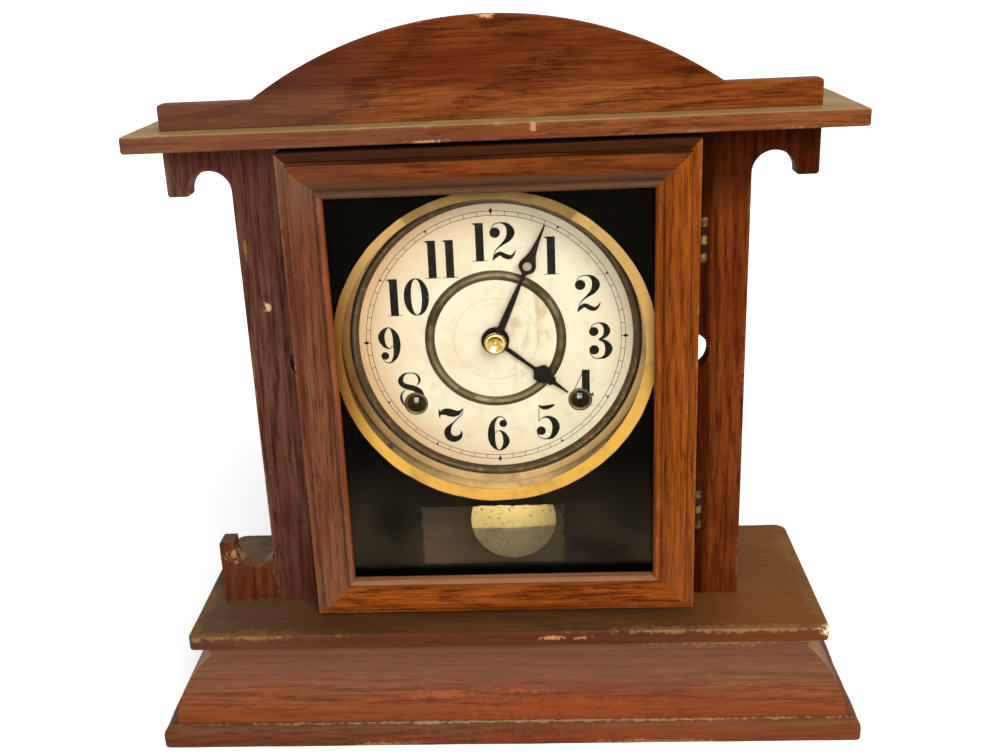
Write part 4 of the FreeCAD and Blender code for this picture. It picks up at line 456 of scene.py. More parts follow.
def dress(material, *names):
    """Gives CAD nodes whose shape stays a procedural finish."""
    for name in names:
        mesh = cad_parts[name].data
        mesh.materials.clear()
        mesh.materials.append(material)


BOARD_STAIN = "#582a13"
dress(pine("pine_back_board", "Z", ("#5e4630", "#523a26", "#3c2a1c"), 1), "back_board")
dress(pine("pine_rails", "X", seed=2), "base_back_rail", "front_sill", "glue_blocks", "gong_base")
dress(oak("header_oak", "X", BOARD_STAIN, (0.05, 0.07), seed=5), "front_header")
dress(oak("side_oak", "Z", BOARD_STAIN, (0.05, 0.07), seed=6), "case_side_left", "case_side_right")

# Front boards: sawn oak with the grain upright, a hook cut under each drop at the top, and a notch sawn
# from the inner edge that shows daylight beside the door. The left one still has its toe block, glued to
# the foot.
low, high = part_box("right_front_board")
toe_low, toe_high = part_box("left_toe_block")
BOARD_HALF = 113.6 * MM
HOOK = 9.5 * MM
HOOK_STEP = 0.3 * MM
HOOK_CENTRE = BOARD_HALF + HOOK_STEP + HOOK
DROP = 21.6 * MM
DROP_FOOT = high.z - DROP
DROP_ROUND = 1.5 * MM
DROP_INNER_ROUND = 1.3 * MM
NOTCH_HEIGHT = 177.8 * MM
NOTCHES = {1: (88.1 * MM, 9.1 * MM), -1: (86.9 * MM, 8.6 * MM)}


def front_board_line(side):
    """The board's outline, right hand; the left one is its mirror image, walked the other way round."""
    notch, notch_radius = NOTCHES[side]
    inner_edge = HOOK_CENTRE + HOOK
    line = outline([(low.x, low.z), (BOARD_HALF, low.z)],
                   arc((HOOK_CENTRE, DROP_FOOT + DROP_ROUND), HOOK, 180, 0, 19),
                   arc((inner_edge + DROP_INNER_ROUND, DROP_FOOT + DROP_INNER_ROUND), DROP_INNER_ROUND,
                       180, 270, 5),
                   arc((high.x - DROP_ROUND, DROP_FOOT + DROP_ROUND), DROP_ROUND, 270, 360, 5),
                   [(high.x, high.z), (low.x, high.z), (low.x, NOTCH_HEIGHT + notch_radius)],
                   arc((notch, NOTCH_HEIGHT), notch_radius, 90, -90, 17),
                   [(low.x, NOTCH_HEIGHT - notch_radius)])
    return line if side > 0 else (line * (-1, 1))[::-1]


LEAF_PROUD = 0.04 * MM  # how far the hinge leaves stand out of the wood that they are let into
# Painted shadow in the right board's bands: darker beside the door, the door's cast shadow, and darker towards
# the top, shade under the cornice.
right_board_oak = oak(
    "right_board_oak", "Z", "#58260a", (0.06, 0.05), 4.5, seed=7, contrast=1.5,
    bands=[("X", 101, 95, "#8c6258", 0.9, "MULTIPLY"), ("Z", 235, 262, "#84604e", 0.9, "MULTIPLY")])
left_board_oak = oak(
    "left_board_oak", "Z", "#4d2d20", (0.05, -0.02), 4.8, seed=8, contrast=1.5,
    worn_spots=[((-103.3, -13, 205.2), (1.3, 2, 2), "#c89a7c", 0.8),
                ((-110.5, -13, 231), (0.5, 2, 5), "#94683f", 0.5)])
for name, side, seed, wood in (("right", 1, 21, right_board_oak), ("left", -1, 22, left_board_oak)):
    line = front_board_line(side)
    board(name + "_front_board", line, low.y + LEAF_PROUD, high.y, "XZY", 0.6, seed, wood)
TOE_NOTCH = 9.3 * MM
TOE_NOTCH_DEPTH = 13.5 * MM
TOE_ROUND = 1.8 * MM
toe_notch_z = toe_high.z - TOE_NOTCH_DEPTH + TOE_NOTCH
toe_line = outline([(toe_low.x, toe_low.z), (toe_high.x, toe_low.z), (toe_high.x, toe_notch_z)],
                   arc((-HOOK_CENTRE, toe_notch_z), TOE_NOTCH, 0, -180, 17),
                   [(-HOOK_CENTRE - TOE_NOTCH, toe_high.z)],
                   arc((toe_low.x + TOE_ROUND, toe_high.z - TOE_ROUND), TOE_ROUND, 90, 180, 5))
toe_oak = oak("toe_block_oak", "Z", "#4f2614", (0.03, 0.09), 3, seed=9, pores=0.5, dust=0.5,
              dusty="#7a5c40", worn_spots=[((-123.4, -7, 78.5), (10, 8, 4.2), "#a88858", 0.7)])
board("left_toe_block", toe_line, toe_low.y, toe_high.y, "XZY", 0.6, 23, toe_oak)

# Cornice: a flat oak board over the case, and on it the crest, one board sawn to a low arch with square
# shoulders. The cornice top is dusty and its front edge is chipped pale.
low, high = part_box("cornice_board")
cornice_oak = oak(
    "cornice_oak", "X", "#69381b", (0.03, 0.3), 3.6, seed=10, worn=0.25, dust=0.95, dusty="#a88a58",
    bare="#c89a6c", bands=[("X", 30, -70, "#5c3c30", 0.45)],
    worn_spots=[((-25, -28, 279), (6, 2, 0.7), "#c09070", 0.7),
                ((20, -28, 284), (1, 2, 1.4), "#b98a68", 0.6)])
board("cornice_board", rectangle(low.xy, high.xy, 2), low.z, high.z, "XYZ", 1.1, 31, cornice_oak)

low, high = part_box("crest_board")
SHOULDER = 11.4 * MM
SHOULDER_LENGTH = 40.7 * MM
SHOULDER_ROUND = 1.6 * MM
arch_half = high.x - SHOULDER_LENGTH
sag = high.z - low.z - SHOULDER
arch_radius = (arch_half ** 2 + sag ** 2) / (2 * sag)
half_angle = math.degrees(math.asin(arch_half / arch_radius))
shoulder_z = low.z + SHOULDER - SHOULDER_ROUND
crest_line = outline([(low.x, low.z), (high.x, low.z)],
                     arc((high.x - SHOULDER_ROUND, shoulder_z), SHOULDER_ROUND, 0, 90, 5),
                     arc((0, high.z - arch_radius), arch_radius, 90 - half_angle, 90 + half_angle, 49),
                     arc((low.x + SHOULDER_ROUND, shoulder_z), SHOULDER_ROUND, 90, 180, 5))
crest_oak = oak(
    "crest_oak", "X", "#6f3b17", (0.035, 0.315), 5.2, taper=0.09, seed=11, worn=0.1, dust=0.2, contrast=1.3,
    bands=[("X", -30, -85, "#4a322b", 0.65), ("X", 45, 80, "#ecd4a0", 0.7, "MULTIPLY"),
           ("Z", 296, 302, "#bc9c98", 0.8, "MULTIPLY")],
    worn_spots=[((-78, -13, 315.5), (3.5, 2, 1), "#c08044", 0.8),
                ((-33, -13, 327.2), (3.6, 2, 0.9), "#d09a74", 0.8),
                ((2, -13, 328.9), (2.6, 2, 1), "#d09a74", 0.8)])
board("crest_board", crest_line, low.y, high.y, "XZY", 0.6, 32, crest_oak)

# Door: four lengths of one moulding, mitred and glued, with a crowned outer member, a shallow slope and a
# small bead next to the glass. The left stile is coloured a duller purplish brown, painted sheen from the
# glancing reflection on that side; the rest is brighter.


def bulge(start, end, rise, count=7):
    """A round stretch between two points that stands proud by rise, as the chord plus rise x sine."""
    share = np.linspace(0, 1, count)[:, None]
    here, there = np.array(start), np.array(end)
    return here + (there - here) * share + np.array((0, rise)) * np.sin(np.pi * share)


door_section = [(0, 0), (0, 15.1), (3.9, 15.1), (3.9, 14.3), (4.8, 14.3),
                *bulge((4.8, 20.4), (12.6, 20.4), 0.9), (15.8, 17.7), (15.8, 16.9), (16.4, 16.9),
                *bulge((16.4, 18.5), (19.4, 18.5), 1.3), (19.4, 14.2), (14.4, 14.2), (14.4, 0)]
left_low, left_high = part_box("door_stile_left")
door_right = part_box("door_stile_right")[1].x
door_back = left_high.y
door_wide = door_right - left_low.x
door_tall = left_high.z - left_low.z
door_corner = (left_low.x, door_back, left_low.z)
for name, start, ways, length, seed, wood in (
        ("stile_left", door_corner, "Z X -Y", door_tall, 41,
         # Painted sheen: the left stile's duller purplish stain stands in for the glancing reflection on that
         # side.
         oak("door_left_oak", "Z", "#613823", (0.03, -0.03), 3.6, seed=12, contrast=1.1,
             bands=[("Z", 230, 270, "#6c5240", 0.35), ("X", -72.6, -71.4, "#86401a", 0.55),
                    ("Z", 120, 60, "#7e5038", 0.3)])),
        ("stile_right", (door_right - LEAF_PROUD, door_back, left_low.z), "Z -X -Y", door_tall, 42,
         oak("door_right_oak", "Z", "#70350c", (0.04, 0.05), 4.4, seed=13, contrast=1.3,
             bands=[("Z", 130, 60, "#8e4e26", 0.3)])),
        ("rail_top", (left_low.x, door_back, left_high.z), "X -Z -Y", door_wide, 43,
         oak("door_top_oak", "X", "#5f2d0e", (0.03, 0.25), 4.4, 0.08, seed=14, worn=0.1, contrast=1.2,
             # Painted shade in the top rail's Z bands: nearly black along the top, the cornice's shadow, and
             # grey brown on the lower half of the crowned member.
             bands=[("X", -10, -65, "#5a3020", 0.55), ("Z", 271.0, 272.2, "#25140b", 0.85),
                    ("Z", 265.0, 263.6, "#4c3a2a", 0.7)])),
        ("rail_bottom", door_corner, "X Z -Y", door_wide, 44,
         oak("door_bottom_oak", "X", "#71350b", (0.05, 0.03), 3.6, seed=15, contrast=1.4,
             bands=[("Z", 69.0, 70.6, "#8a6244", 0.65)]))):
    moulding("door_" + name, door_section, start, ways, length, (1, 1), seed, wood, "door")

# Door glass: one old sheet laid in the door's rebate and held there from behind by pine strips. It is
# clear, but filmed with dust towards its foot.


def window_glass():
    """Clear glass as thin sheets show it: straight through, a faint mirror that grows at a slant, and a
    film of dust, cloudy and thicker low down, with a few specks."""
    f = Finish("door_glass")
    height = f.part("Z")
    low_down = f.times(f.between(height, 0.078, 0.140, 0.040, 0.001), f.between(height, 0.077, 0.081))
    film = f.times(low_down, f.between(f.noise(22, 3, 0.6), 0.3, 0.7, 0.4, 1.4))
    film = f.plus(film, f.between(f.noise(900, 3, 0.7), 0.72, 0.82, 0, 0.02))
    clear = f.add("BsdfTransparent", {"Color": (0.97, 0.98, 0.96, 1)})
    mirror = f.add("BsdfGlossy", {"Color": (1, 1, 1, 1), "Roughness": 0.03})
    pane = f.add("MixShader", {0: f.add("Fresnel", {"IOR": 1.07}), 1: clear, 2: mirror})
    return f.done(f.add("MixShader", {0: film, 1: pane, 2: f.add("BsdfDiffuse", {"Color": "#b7a07a"})}))


dress(window_glass(), "door_glass")
dress(pine("pine_strips", "Z", ("#8a5a30", "#6e4424", "#4a2c18"), 3), "glazing_strips")

# Painted tablet: the back of the glass is painted black round the dial, with a broad gold ring at the round
# opening, and a window is left clear below it, ragged where the old paint has flaked, to show the pendulum.
DIAL_HEIGHT = 184.4 * MM
GOLD_RADIUS = 73.0 * MM
HOLE_RADIUS = 68.2 * MM
HOLE_CENTRE = (-0.5 * MM, DIAL_HEIGHT + 0.9 * MM)
SPLIT = 112.5 * MM  # height at which the round film and the window's film meet


def from_dial(f):
    """Where a point lies from the dial's centre, seen from the front, and how far away it is."""
    flat = f.vector("MULTIPLY", f.vector("SUBTRACT", f.place, (0, 0, DIAL_HEIGHT)), (1, 0, 1))
    return flat, f.length(flat)


def tablet_paint():
    """Black japan, and gold leaf paint inside a set distance from the dial's centre, browner and dirtier in
    places, its outer edge a little uneven. Low down the gold is painted lighter, painted light, and at the top
    darker, painted shade under the door's top rail; its left end is painted dark brown shade."""
    f = Finish("tablet_paint")
    flat, radius = from_dial(f)
    ripple = f.times(f.noise(90), 0.9 * MM)
    gilt = f.between(f.plus(radius, ripple), GOLD_RADIUS + 0.40 * MM, GOLD_RADIUS + 0.55 * MM, 1, 0)
    # Painted light and shade: the gold lighter low down, darker at the top under the door's top rail.
    gold = f.mix(f.between(f.part("Z", flat), -0.06, 0.05, 1, 0), "#b08a55", "#cf9a45")
    gold = f.spread(gold, "#8a6a3c", f.noise(45, 4, 0.65), 0.48, 0.72, 0.65)
    gold = f.spread(gold, "#7a5c36", f.noise(420, 3, 0.6), 0.55, 0.75, 0.35)
    # Painted shade: the left end of the gold ring dark brown.
    gold = f.mix(f.between(f.part("X", flat), -0.072, -0.052, 0.85, 0), gold, "#582c04")
    black = f.spread("#040302", "#241a12", f.noise(1, 2, 0.6, (700, 700, 60)), 0.62, 0.80, 0.5)
    colour = f.mix(gilt, black, gold)
    return f.done(f.add("BsdfPrincipled", {"Base Color": colour, "Roughness": 0.5, "Specular IOR Level": 0}))


def ray_to_box(angle, centre, low, high):
    """Where a ray from the centre meets a rectangle: centre + direction x the least distance to a side."""
    direction = np.stack([np.cos(angle), np.sin(angle)], -1)
    with np.errstate(divide="ignore"):
        sides = np.where(direction > 0, (np.array(high) - centre) / direction,
                         (np.array(low) - centre) / direction)
    return np.array(centre) + direction * np.where(np.abs(direction) < 1e-9, np.inf, sides).min(1)[:, None]


def rays(count, middle, *boxes):
    """Directions all round from a middle, with those to the corners of the boxes (low, high) among them."""
    corners = [math.atan2(z - middle[1], x - middle[0]) for low, high in boxes
               for x in (low[0], high[0]) for z in (low[1], high[1])]
    return np.sort(np.concatenate([np.linspace(-np.pi, np.pi, count, endpoint=False), corners]))


def painted_film(name, inner, outer):
    """A thin closed layer between two loops, as four rings: inner and outer front, outer and inner back."""
    grid = np.zeros((4, inner.shape[0], 3))
    for ring, (loop, depth) in enumerate(((inner, low.y), (outer, low.y), (outer, high.y), (inner, high.y))):
        grid[ring, :, ::2] = loop
        grid[ring, :, 1] = depth
    solid(name, grid, "door", ("black_tablet",), paint, rings_closed=True)


low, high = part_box("black_tablet")
paint = tablet_paint()
upper_sheet = ((low.x, SPLIT), (high.x, high.z))
lower_sheet = ((low.x, low.z), (high.x, SPLIT))
turns = rays(160, (0, DIAL_HEIGHT), upper_sheet)
ring_line = HOLE_CENTRE + HOLE_RADIUS * np.stack([np.cos(turns), np.sin(turns)], -1)
painted_film("tablet_round", ring_line, ray_to_box(turns, (0, DIAL_HEIGHT), *upper_sheet))
WINDOW = ((-37.5 * MM, 78.5 * MM), (29.5 * MM, 108.5 * MM))
middle = np.array(WINDOW).sum(0) / 2
turns = rays(720, middle, lower_sheet, WINDOW)
window_line = ray_to_box(turns, middle, *WINDOW)
walked = np.linalg.norm(window_line - np.roll(window_line, 1, 0), axis=1).cumsum()
flaked = 1 + 0.012 * uneven(walked * 3, 61) + 0.03 * uneven(walked * 12, 62)
painted_film("tablet_window", middle + (window_line - middle) * flaked[:, None],
             ray_to_box(turns, middle, *lower_sheet))

# Hinges, screws and catch: two butt hinges with stamped leaves, dark brass on the door and dull iron on the
# case, that turn on iron pins and are screwed down with steel screws, and a brass spring catch on its pin.


def metal(name, colour, dull, roughness, spots=0.5, patches=30, ahead=None, within=None):
    """Old metal: bright where rubbed, with cloudy tarnish and fine scratches. ahead is a depth in mm and the
    colour of what lies in front of it, such as the end of a steel arbor. within is a radius in mm round the
    dial's centre and the darker colour inside it, painted shade in the recess next to the paper; the left side
    of such a ring is painted brown shade."""
    f = Finish(name)
    fine = f.noise(300, 3, 0.6)
    rubbed = f.times(f.add("Attribute", out="Fac", attribute_name="edge"), 0.35)
    cloudy = f.between(f.noise(patches, 4, 0.65), 0.40, 0.66, 0, spots)
    tarnish = f.math("SUBTRACT", cloudy, rubbed, True)
    base = f.mix(tarnish, colour, dull)
    if ahead:
        base = f.mix(f.math("LESS_THAN", f.part("Y"), ahead[0] * MM), base, ahead[1])
    if within:
        flat, radius = from_dial(f)
        # Painted shade: the ring's left side brown.
        base = f.mix(f.between(f.part("X", flat), -0.072, -0.045, 0.9, 0), base, "#8a5014")
        # Painted shade: dark inside the radius, the recess next to the paper.
        base = f.mix(f.between(radius, (within[0] - 0.4) * MM, (within[0] + 0.4) * MM), within[1], base)
    base = f.spread(base, dull, fine, 0.5, 0.75, 0.35)
    return f.principled(fine, 0.03, 0.35, base_color=base, metallic=1,
                        roughness=f.between(tarnish, 0, 1, roughness, roughness + 0.3))


brass = metal("brass", "#d9b15f", "#7d5a2a", 0.32)
steel = metal("steel", "#a9a6a0", "#5b4a3c", 0.38)
dress(metal("hinge_brass", "#7c5c33", "#2c1c10", 0.5, 0.9, 160), "hinge_door_leaves")
dress(metal("hinge_iron", "#3c2a1c", "#1a100a", 0.75), "hinge_case_leaves", "hinge_pins")
dress(brass, "door_catch")
dress(steel, "hinge_screws", "back_screws", "door_catch_pin")

# Dial: a pine board with a round hole carries a tinned pan, and the paper dial is pasted to it. The paper
# has yellowed, darker to the rim, with brown water stains right of the centre.


def dial_paper_finish():
    """Old coated paper: cream at the middle, tan towards the rim, brown stains in two spreading patches,
    fine foxing and a faint ring round the hands."""
    f = Finish("dial_paper")
    flat, radius = from_dial(f)
    fine = f.noise(700, 3, 0.6)
    rim = f.times(f.between(radius, 0.040, 0.067), f.between(f.part("X", flat), -0.060, 0.040, 1, 0.1))
    colour = f.mix(rim, "#dacdb6", "#c59a6c")
    colour = f.spread(colour, "#cfb494", f.noise(34, 4, 0.6), 0.42, 0.68, 0.45)
    colour = f.spread(colour, "#c09c7c", f.noise(170, 4, 0.7), 0.50, 0.72, 0.35)
    smears = f.noise(1, 4, 0.65, (190, 100, 60))
    for place, size, share in (((0.016, 0, 0.010), 0.020, 0.6), ((0.008, 0, -0.016), 0.014, 0.4)):
        reach = f.vector("DISTANCE", flat, place, "Value")
        spot = f.times(f.between(reach, 0.3 * size, size, share, 0), f.between(smears, 0.44, 0.62))
        colour = f.mix(spot, colour, "#b5895a")
    off_ring = f.math("ABSOLUTE", f.math("SUBTRACT", radius, 19.5 * MM))
    colour = f.mix(f.between(off_ring, 0.1 * MM, 0.35 * MM, 0.35, 0), colour, "#a98f68")
    colour = f.spread(colour, "#a5865c", fine, 0.60, 0.78, 0.25)
    return f.principled(fine, 0.02, 0.3, base_color=colour, roughness=0.62, specular_ior_level=0.25)


dress(pine("pine_dial_board", "X", seed=4), "dial_board")
dress(metal("tinplate", "#3c362e", "#1c1814", 0.6), "dial_pan")
dress(steel, "dial_screws")
dress(dial_paper_finish(), "dial_paper")

# Printing: fat-faced upright numerals with hair-thin serifs and ball ends, and a minute track of two fine
# circles with a tick at each minute, in black ink that has greyed a little.
PAPER_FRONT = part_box("dial_paper")[0].y
INK_LIFT = 0.05 * MM


def printing_ink():
    """Matt black ink with greyed patches."""
    f = Finish("printing_ink")
    colour = f.spread("#17130f", "#3a3028", f.noise(260, 3, 0.65), 0.52, 0.72, 0.45)
    return f.done(f.add("BsdfPrincipled", {"Base Color": colour, "Roughness": 0.7,
                                           "Specular IOR Level": 0.05}))


def through(rows, samples=9):
    """A smooth line through rows of values: between two rows, the cubic whose slope at each is half the
    step from the row before to the row after."""
    rows = np.array(rows, float)
    before = np.concatenate([[2 * rows[0] - rows[1]], rows[:-2]])
    after = np.concatenate([rows[2:], [2 * rows[-1] - rows[-2]]])
    here, there = rows[:-1], rows[1:]
    s = np.linspace(0, 1, samples, endpoint=False)[:, None]
    curve = (here[:, None] * (2 * s ** 3 - 3 * s ** 2 + 1) + there[:, None] * (3 * s ** 2 - 2 * s ** 3)
             + 0.5 * (there - before)[:, None] * (s ** 3 - 2 * s ** 2 + s)
             + 0.5 * (after - here)[:, None] * (s ** 3 - s ** 2))
    return np.concatenate([curve.reshape(-1, rows.shape[1]), rows[-1:]])


def ribbon(rows):
    """A pen stroke as a strip of flat points, [sample, side, (x, z)]: the line through the rows, half a
    width to each side of it. A row is x, z and half the width."""
    line = through(rows) if len(rows) > 2 else np.array(rows, float)
    ahead = np.gradient(line[:, :2], axis=0)
    ahead /= np.linalg.norm(ahead, axis=1, keepdims=True)
    side = np.stack([-ahead[:, 1], ahead[:, 0]], -1) * line[:, 2:]
    return np.stack([line[:, :2] - side, line[:, :2] + side], 1)


def ball(x, z, radius):
    """A round dot as a stroke: half widths follow a circle."""
    angle = np.linspace(0.02, np.pi - 0.02, 15)
    return [(x - radius * math.cos(a), z, radius * math.sin(a)) for a in angle]


# Strokes in hundredths of a numeral's height, each row x, z and half the width.
SIX = [[(53, 86, 1), (44, 96.5, 1.2), (31, 97.5, 2.2), (17, 80, 6.5), (12, 50, 10), (15.5, 20, 7.5),
        (30, 1.2, 1.4), (45.5, 11, 6), (52, 29, 8.8), (45, 50, 5), (33, 58.5, 1.4), (22, 52, 1)],
       ball(45, 79, 10.5)]
NUMERALS = [
    [[(33 + 23.5 * math.cos(a), 50 + 48.8 * math.sin(a), 1.2 + 8.3 * abs(math.cos(a)) ** 1.3)
      for a in np.linspace(0, 2 * math.pi, 41)]],
    [[(20, 0, 10.5), (20, 100, 10.5)], [(0, 0.8, 0.8), (40, 0.8, 0.8)],
     [(2, 98.5, 0.8), (7, 97.5, 2), (12, 96.5, 3.5)]],
    [[(3.5, 80, 0.8), (12, 94.5, 1.2), (31, 98.5, 1.6), (47, 91, 6), (54.5, 74, 10.5), (48, 57, 7.5),
      (31, 42, 3), (14, 26, 1.2), (7, 4, 1)], ball(14, 73.5, 13.5),
     [(6.5, 1.5, 1.2), (15, 13, 5), (26, 18.5, 5.5), (39, 11.5, 6.5), (51, 8.5, 5.5), (60, 15, 3),
      (66, 25.5, 1)]],
    [[(4.5, 80, 0.8), (13, 94.5, 1.2), (30, 98.5, 1.8), (44, 91, 6), (49.5, 76, 8.8), (42, 61, 5),
      (27, 53.5, 1.2)], ball(15, 75.5, 12.5),
     [(27, 53.5, 1.2), (45, 46, 5.5), (54, 27, 9.8), (46, 8, 6), (30, 1.2, 1.8), (13, 4.5, 1.2),
      (4, 18, 0.8)], ball(15.5, 25, 13)],
    [[(40, 0, 10.5), (40, 100, 10.5)], [(22, 0.8, 0.8), (58, 0.8, 0.8)], [(34, 99, 1), (3, 31, 1)],
     [(2, 30, 1.2), (60, 30, 1.2)], [(47, 30, 1.2), (56, 30, 3), (60, 30, 7.5)]],
    [[(11, 100, 1), (10, 52, 1)],
     [(11, 99, 1.2), (20, 92.5, 5), (33, 92.5, 6), (46, 96.5, 4), (54, 100, 1.2)],
     [(10, 53, 0.8), (20, 62.5, 1.4), (36, 64, 4), (51, 52, 8.5), (55.5, 32, 10), (46, 9, 6.2),
      (30, 1.2, 1.8), (13, 4.5, 1.2), (4, 18, 0.8)], ball(15.5, 25, 12.5)],
    SIX,
    [[(3, 83, 3), (11, 86.5, 6.8), (20, 88.5, 9.8), (32, 86, 11.2), (44, 83.5, 9.8), (54, 85, 6.6),
      (62, 91, 3), (68, 98.5, 0.6)],
     [(1.5, 98.5, 0.6), (3, 90, 2.2), (3.5, 80, 2.6), (3.5, 71, 0.6)],
     [(68, 94, 0.8), (64, 81, 1.3), (53, 70, 1.5), (40, 57.5, 1.9), (32, 49, 4.2), (25, 39, 7.6),
      (22.2, 28, 9.4), (26.2, 16, 9.7), (38, 9.5, 9.1), (51, 12, 7.2), (59, 21, 4), (60, 33, 0.6)]],
    [[(50, 63, 1), (56.5, 72, 2.6), (57, 82, 3.6), (50, 94, 2.2), (34, 98.5, 1.2), (17, 94.5, 3),
      (7, 80, 6.6), (10, 68, 7.2), (22, 60, 7.6), (41, 54.5, 8), (56, 44, 8.2), (60, 27, 7.6), (52, 8, 4),
      (33, 1.2, 1.4), (14, 7, 2.2), (6, 25, 3.6), (8, 40, 2.2), (17, 50.5, 1)]],
    [[(62 - x, 100 - z, w) for x, z, w in stroke] for stroke in SIX]]
WIDTHS = (66, 40, 68, 66, 62, 66, 62, 68, 66, 62)
NUMERAL_HEIGHT = 17.6 * MM
NUMERAL_GAP = 6
HOUR_PLACES = ((1.0, 46.0), (26.6, 38.8), (43.0, 20.5), (48.6, -2.2), (39.9, -25.0), (23.1, -41.9),
               (-0.4, -47.2), (-22.6, -42.2), (-40.9, -23.9), (-49.4, -1.5), (-39.6, 21.4), (-23.4, 38.7))
ink = printing_ink()


def flat_print(name, strips):
    """Ink on the paper: all strips, each [sample, side, (x, z)] in metres from the dial's centre, become
    one thin closed mesh, its front just proud of the paper and its back on it."""
    points, faces, start = [], [], 0
    for strip in strips:
        count = strip.shape[0]
        flat = np.zeros((count, 4, 3))
        flat[:, :2, 0], flat[:, :2, 2] = strip[..., 0], DIAL_HEIGHT + strip[..., 1]
        flat[:, 2:] = flat[:, 1::-1]
        flat[:, :2, 1] = PAPER_FRONT - INK_LIFT
        flat[:, 2:, 1] = PAPER_FRONT
        number = start + np.arange(count * 4).reshape(count, 4)
        side = np.roll(number, -1, 1)
        quads = np.stack([number[:-1], side[:-1], side[1:], number[1:]], -1).reshape(-1, 4)
        points.append(flat.reshape(-1, 3))
        faces += quads.tolist() + [number[0][::-1].tolist(), number[-1].tolist()]
        start += count * 4
    piece(name, np.concatenate(points), faces, "case", ink, turn_out=True)


for hour, place in zip((12, *range(1, 12)), HOUR_PLACES):
    digits = [int(digit) for digit in str(hour)]
    pen = -(sum(WIDTHS[digit] for digit in digits) + NUMERAL_GAP * (len(digits) - 1)) / 2
    strips = []
    for digit in digits:
        strips += [(ribbon(stroke) + (pen, -50)) * NUMERAL_HEIGHT / 100 + np.array(place) * MM
                   for stroke in NUMERALS[digit]]
        pen += WIDTHS[digit] + NUMERAL_GAP
    flat_print("numeral_%d" % hour, strips)

TRACK = (58.1 * MM, 60.1 * MM)
LINE_HALF = 0.12 * MM
angle = np.linspace(0, 2 * np.pi, 181)
track = [np.stack([np.stack([r * np.sin(angle), r * np.cos(angle)], -1)
                   for r in (radius - LINE_HALF, radius + LINE_HALF)], 1) for radius in TRACK]
for minute in range(60):
    turn = math.radians(6 * minute)
    out = np.array((math.sin(turn), math.cos(turn)))
    cross = np.array((out[1], -out[0]))
    tick = cross * LINE_HALF
    track.append(np.array([[out * radius - tick, out * radius + tick] for radius in TRACK]))
    if minute % 5 == 0:
        quarter = minute % 15 == 0
        reach, wide = (1.5 * MM, 0.85 * MM) if quarter else (1.4 * MM, 0.75 * MM)
        across = cross * wide
        waist = out * TRACK[1]
        tips = [waist + out * (reach if quarter else 0.1 * MM), waist - out * reach]
        top, foot = [[tip, tip + across * 0.02] for tip in tips]
        track.append(np.array([top, [waist - across, waist + across], foot]))
flat_print("minute_track", track)

# Bezel, inner ring and winding grommets: brass spinnings, browned almost to bronze, that are rolled over the
# edges of the paper and of its holes.


def spun(name, section, centre, material, body="case", replaces=None, turns=160,
         round_at=0.35, closed=True):
    """A turned piece: its section (radius, depth) is carried round an axis that runs front to back. A
    section that starts and ends on the axis closes itself there."""
    points, wear = np.array(section) * MM, np.zeros(len(section))
    if closed:
        points, wear = softened(points, round_at * MM, 1.0 * MM)
    angle = np.linspace(0, 2 * np.pi, turns, endpoint=False)
    grid = np.zeros((len(points), turns, 3))
    grid[..., 0] = centre[0] * MM + points[:, :1] * np.cos(angle)
    grid[..., 1] = points[:, 1:]
    grid[..., 2] = centre[1] * MM + points[:, :1] * np.sin(angle)
    solid(name, grid, body, (replaces or name,), material, wear[:, None], closed, False, 50)


ring_bronze = metal("dark_bronze", "#6e5e46", "#40301c", 0.5, 0.8, 60)
DIAL = (0, DIAL_HEIGHT / MM)
bezel_section = [(63.5, -3.9), (63.5, -6.4), (64.2, -8.2), *bulge((64.9, -9.0), (66.5, -9.0), -0.2, 5),
                 (67.4, -7.9), (71.6, -7.7), (72.2, -5.2), (76.9, -4.9), (77.0, -3.9)]
# The bezel's dark band next to the paper and its brown left side are painted shade.
spun("dial_bezel", bezel_section, DIAL,
     metal("tan_bronze", "#ecc88c", "#b89a70", 0.62, 0.7, within=(67.6, "#5c4c38")), turns=200)
inner_section = [(28.3, -6.2), *bulge((28.3, -6.4), (32.8, -6.4), -1.5, 11), (32.8, -6.2)]
spun("dial_inner_ring", inner_section, DIAL, ring_bronze, turns=180)
WINDING_SIDE = 38.75
WINDING_HEIGHT = 153.6
grommet_section = [(4.2, -5.5), (4.2, -6.5), *bulge((4.4, -6.6), (5.6, -6.5), -0.4, 5), (5.7, -5.5)]
for name, x in (("grommet_left", -WINDING_SIDE), ("grommet_right", WINDING_SIDE)):
    spun(name, grommet_section, (x, WINDING_HEIGHT), ring_bronze, replaces="winding_grommets", turns=64,
         round_at=0.15)

# Hands: stamped from sheet steel and blued nearly black. The minute hand swells to a ring, the hour hand to
# a barbed spade; a dished brass nut holds them on the arbor.
blued = metal("blued_steel", "#1d1711", "#0c0a08", 0.4, 0.6)
BEVEL = 0.12 * MM


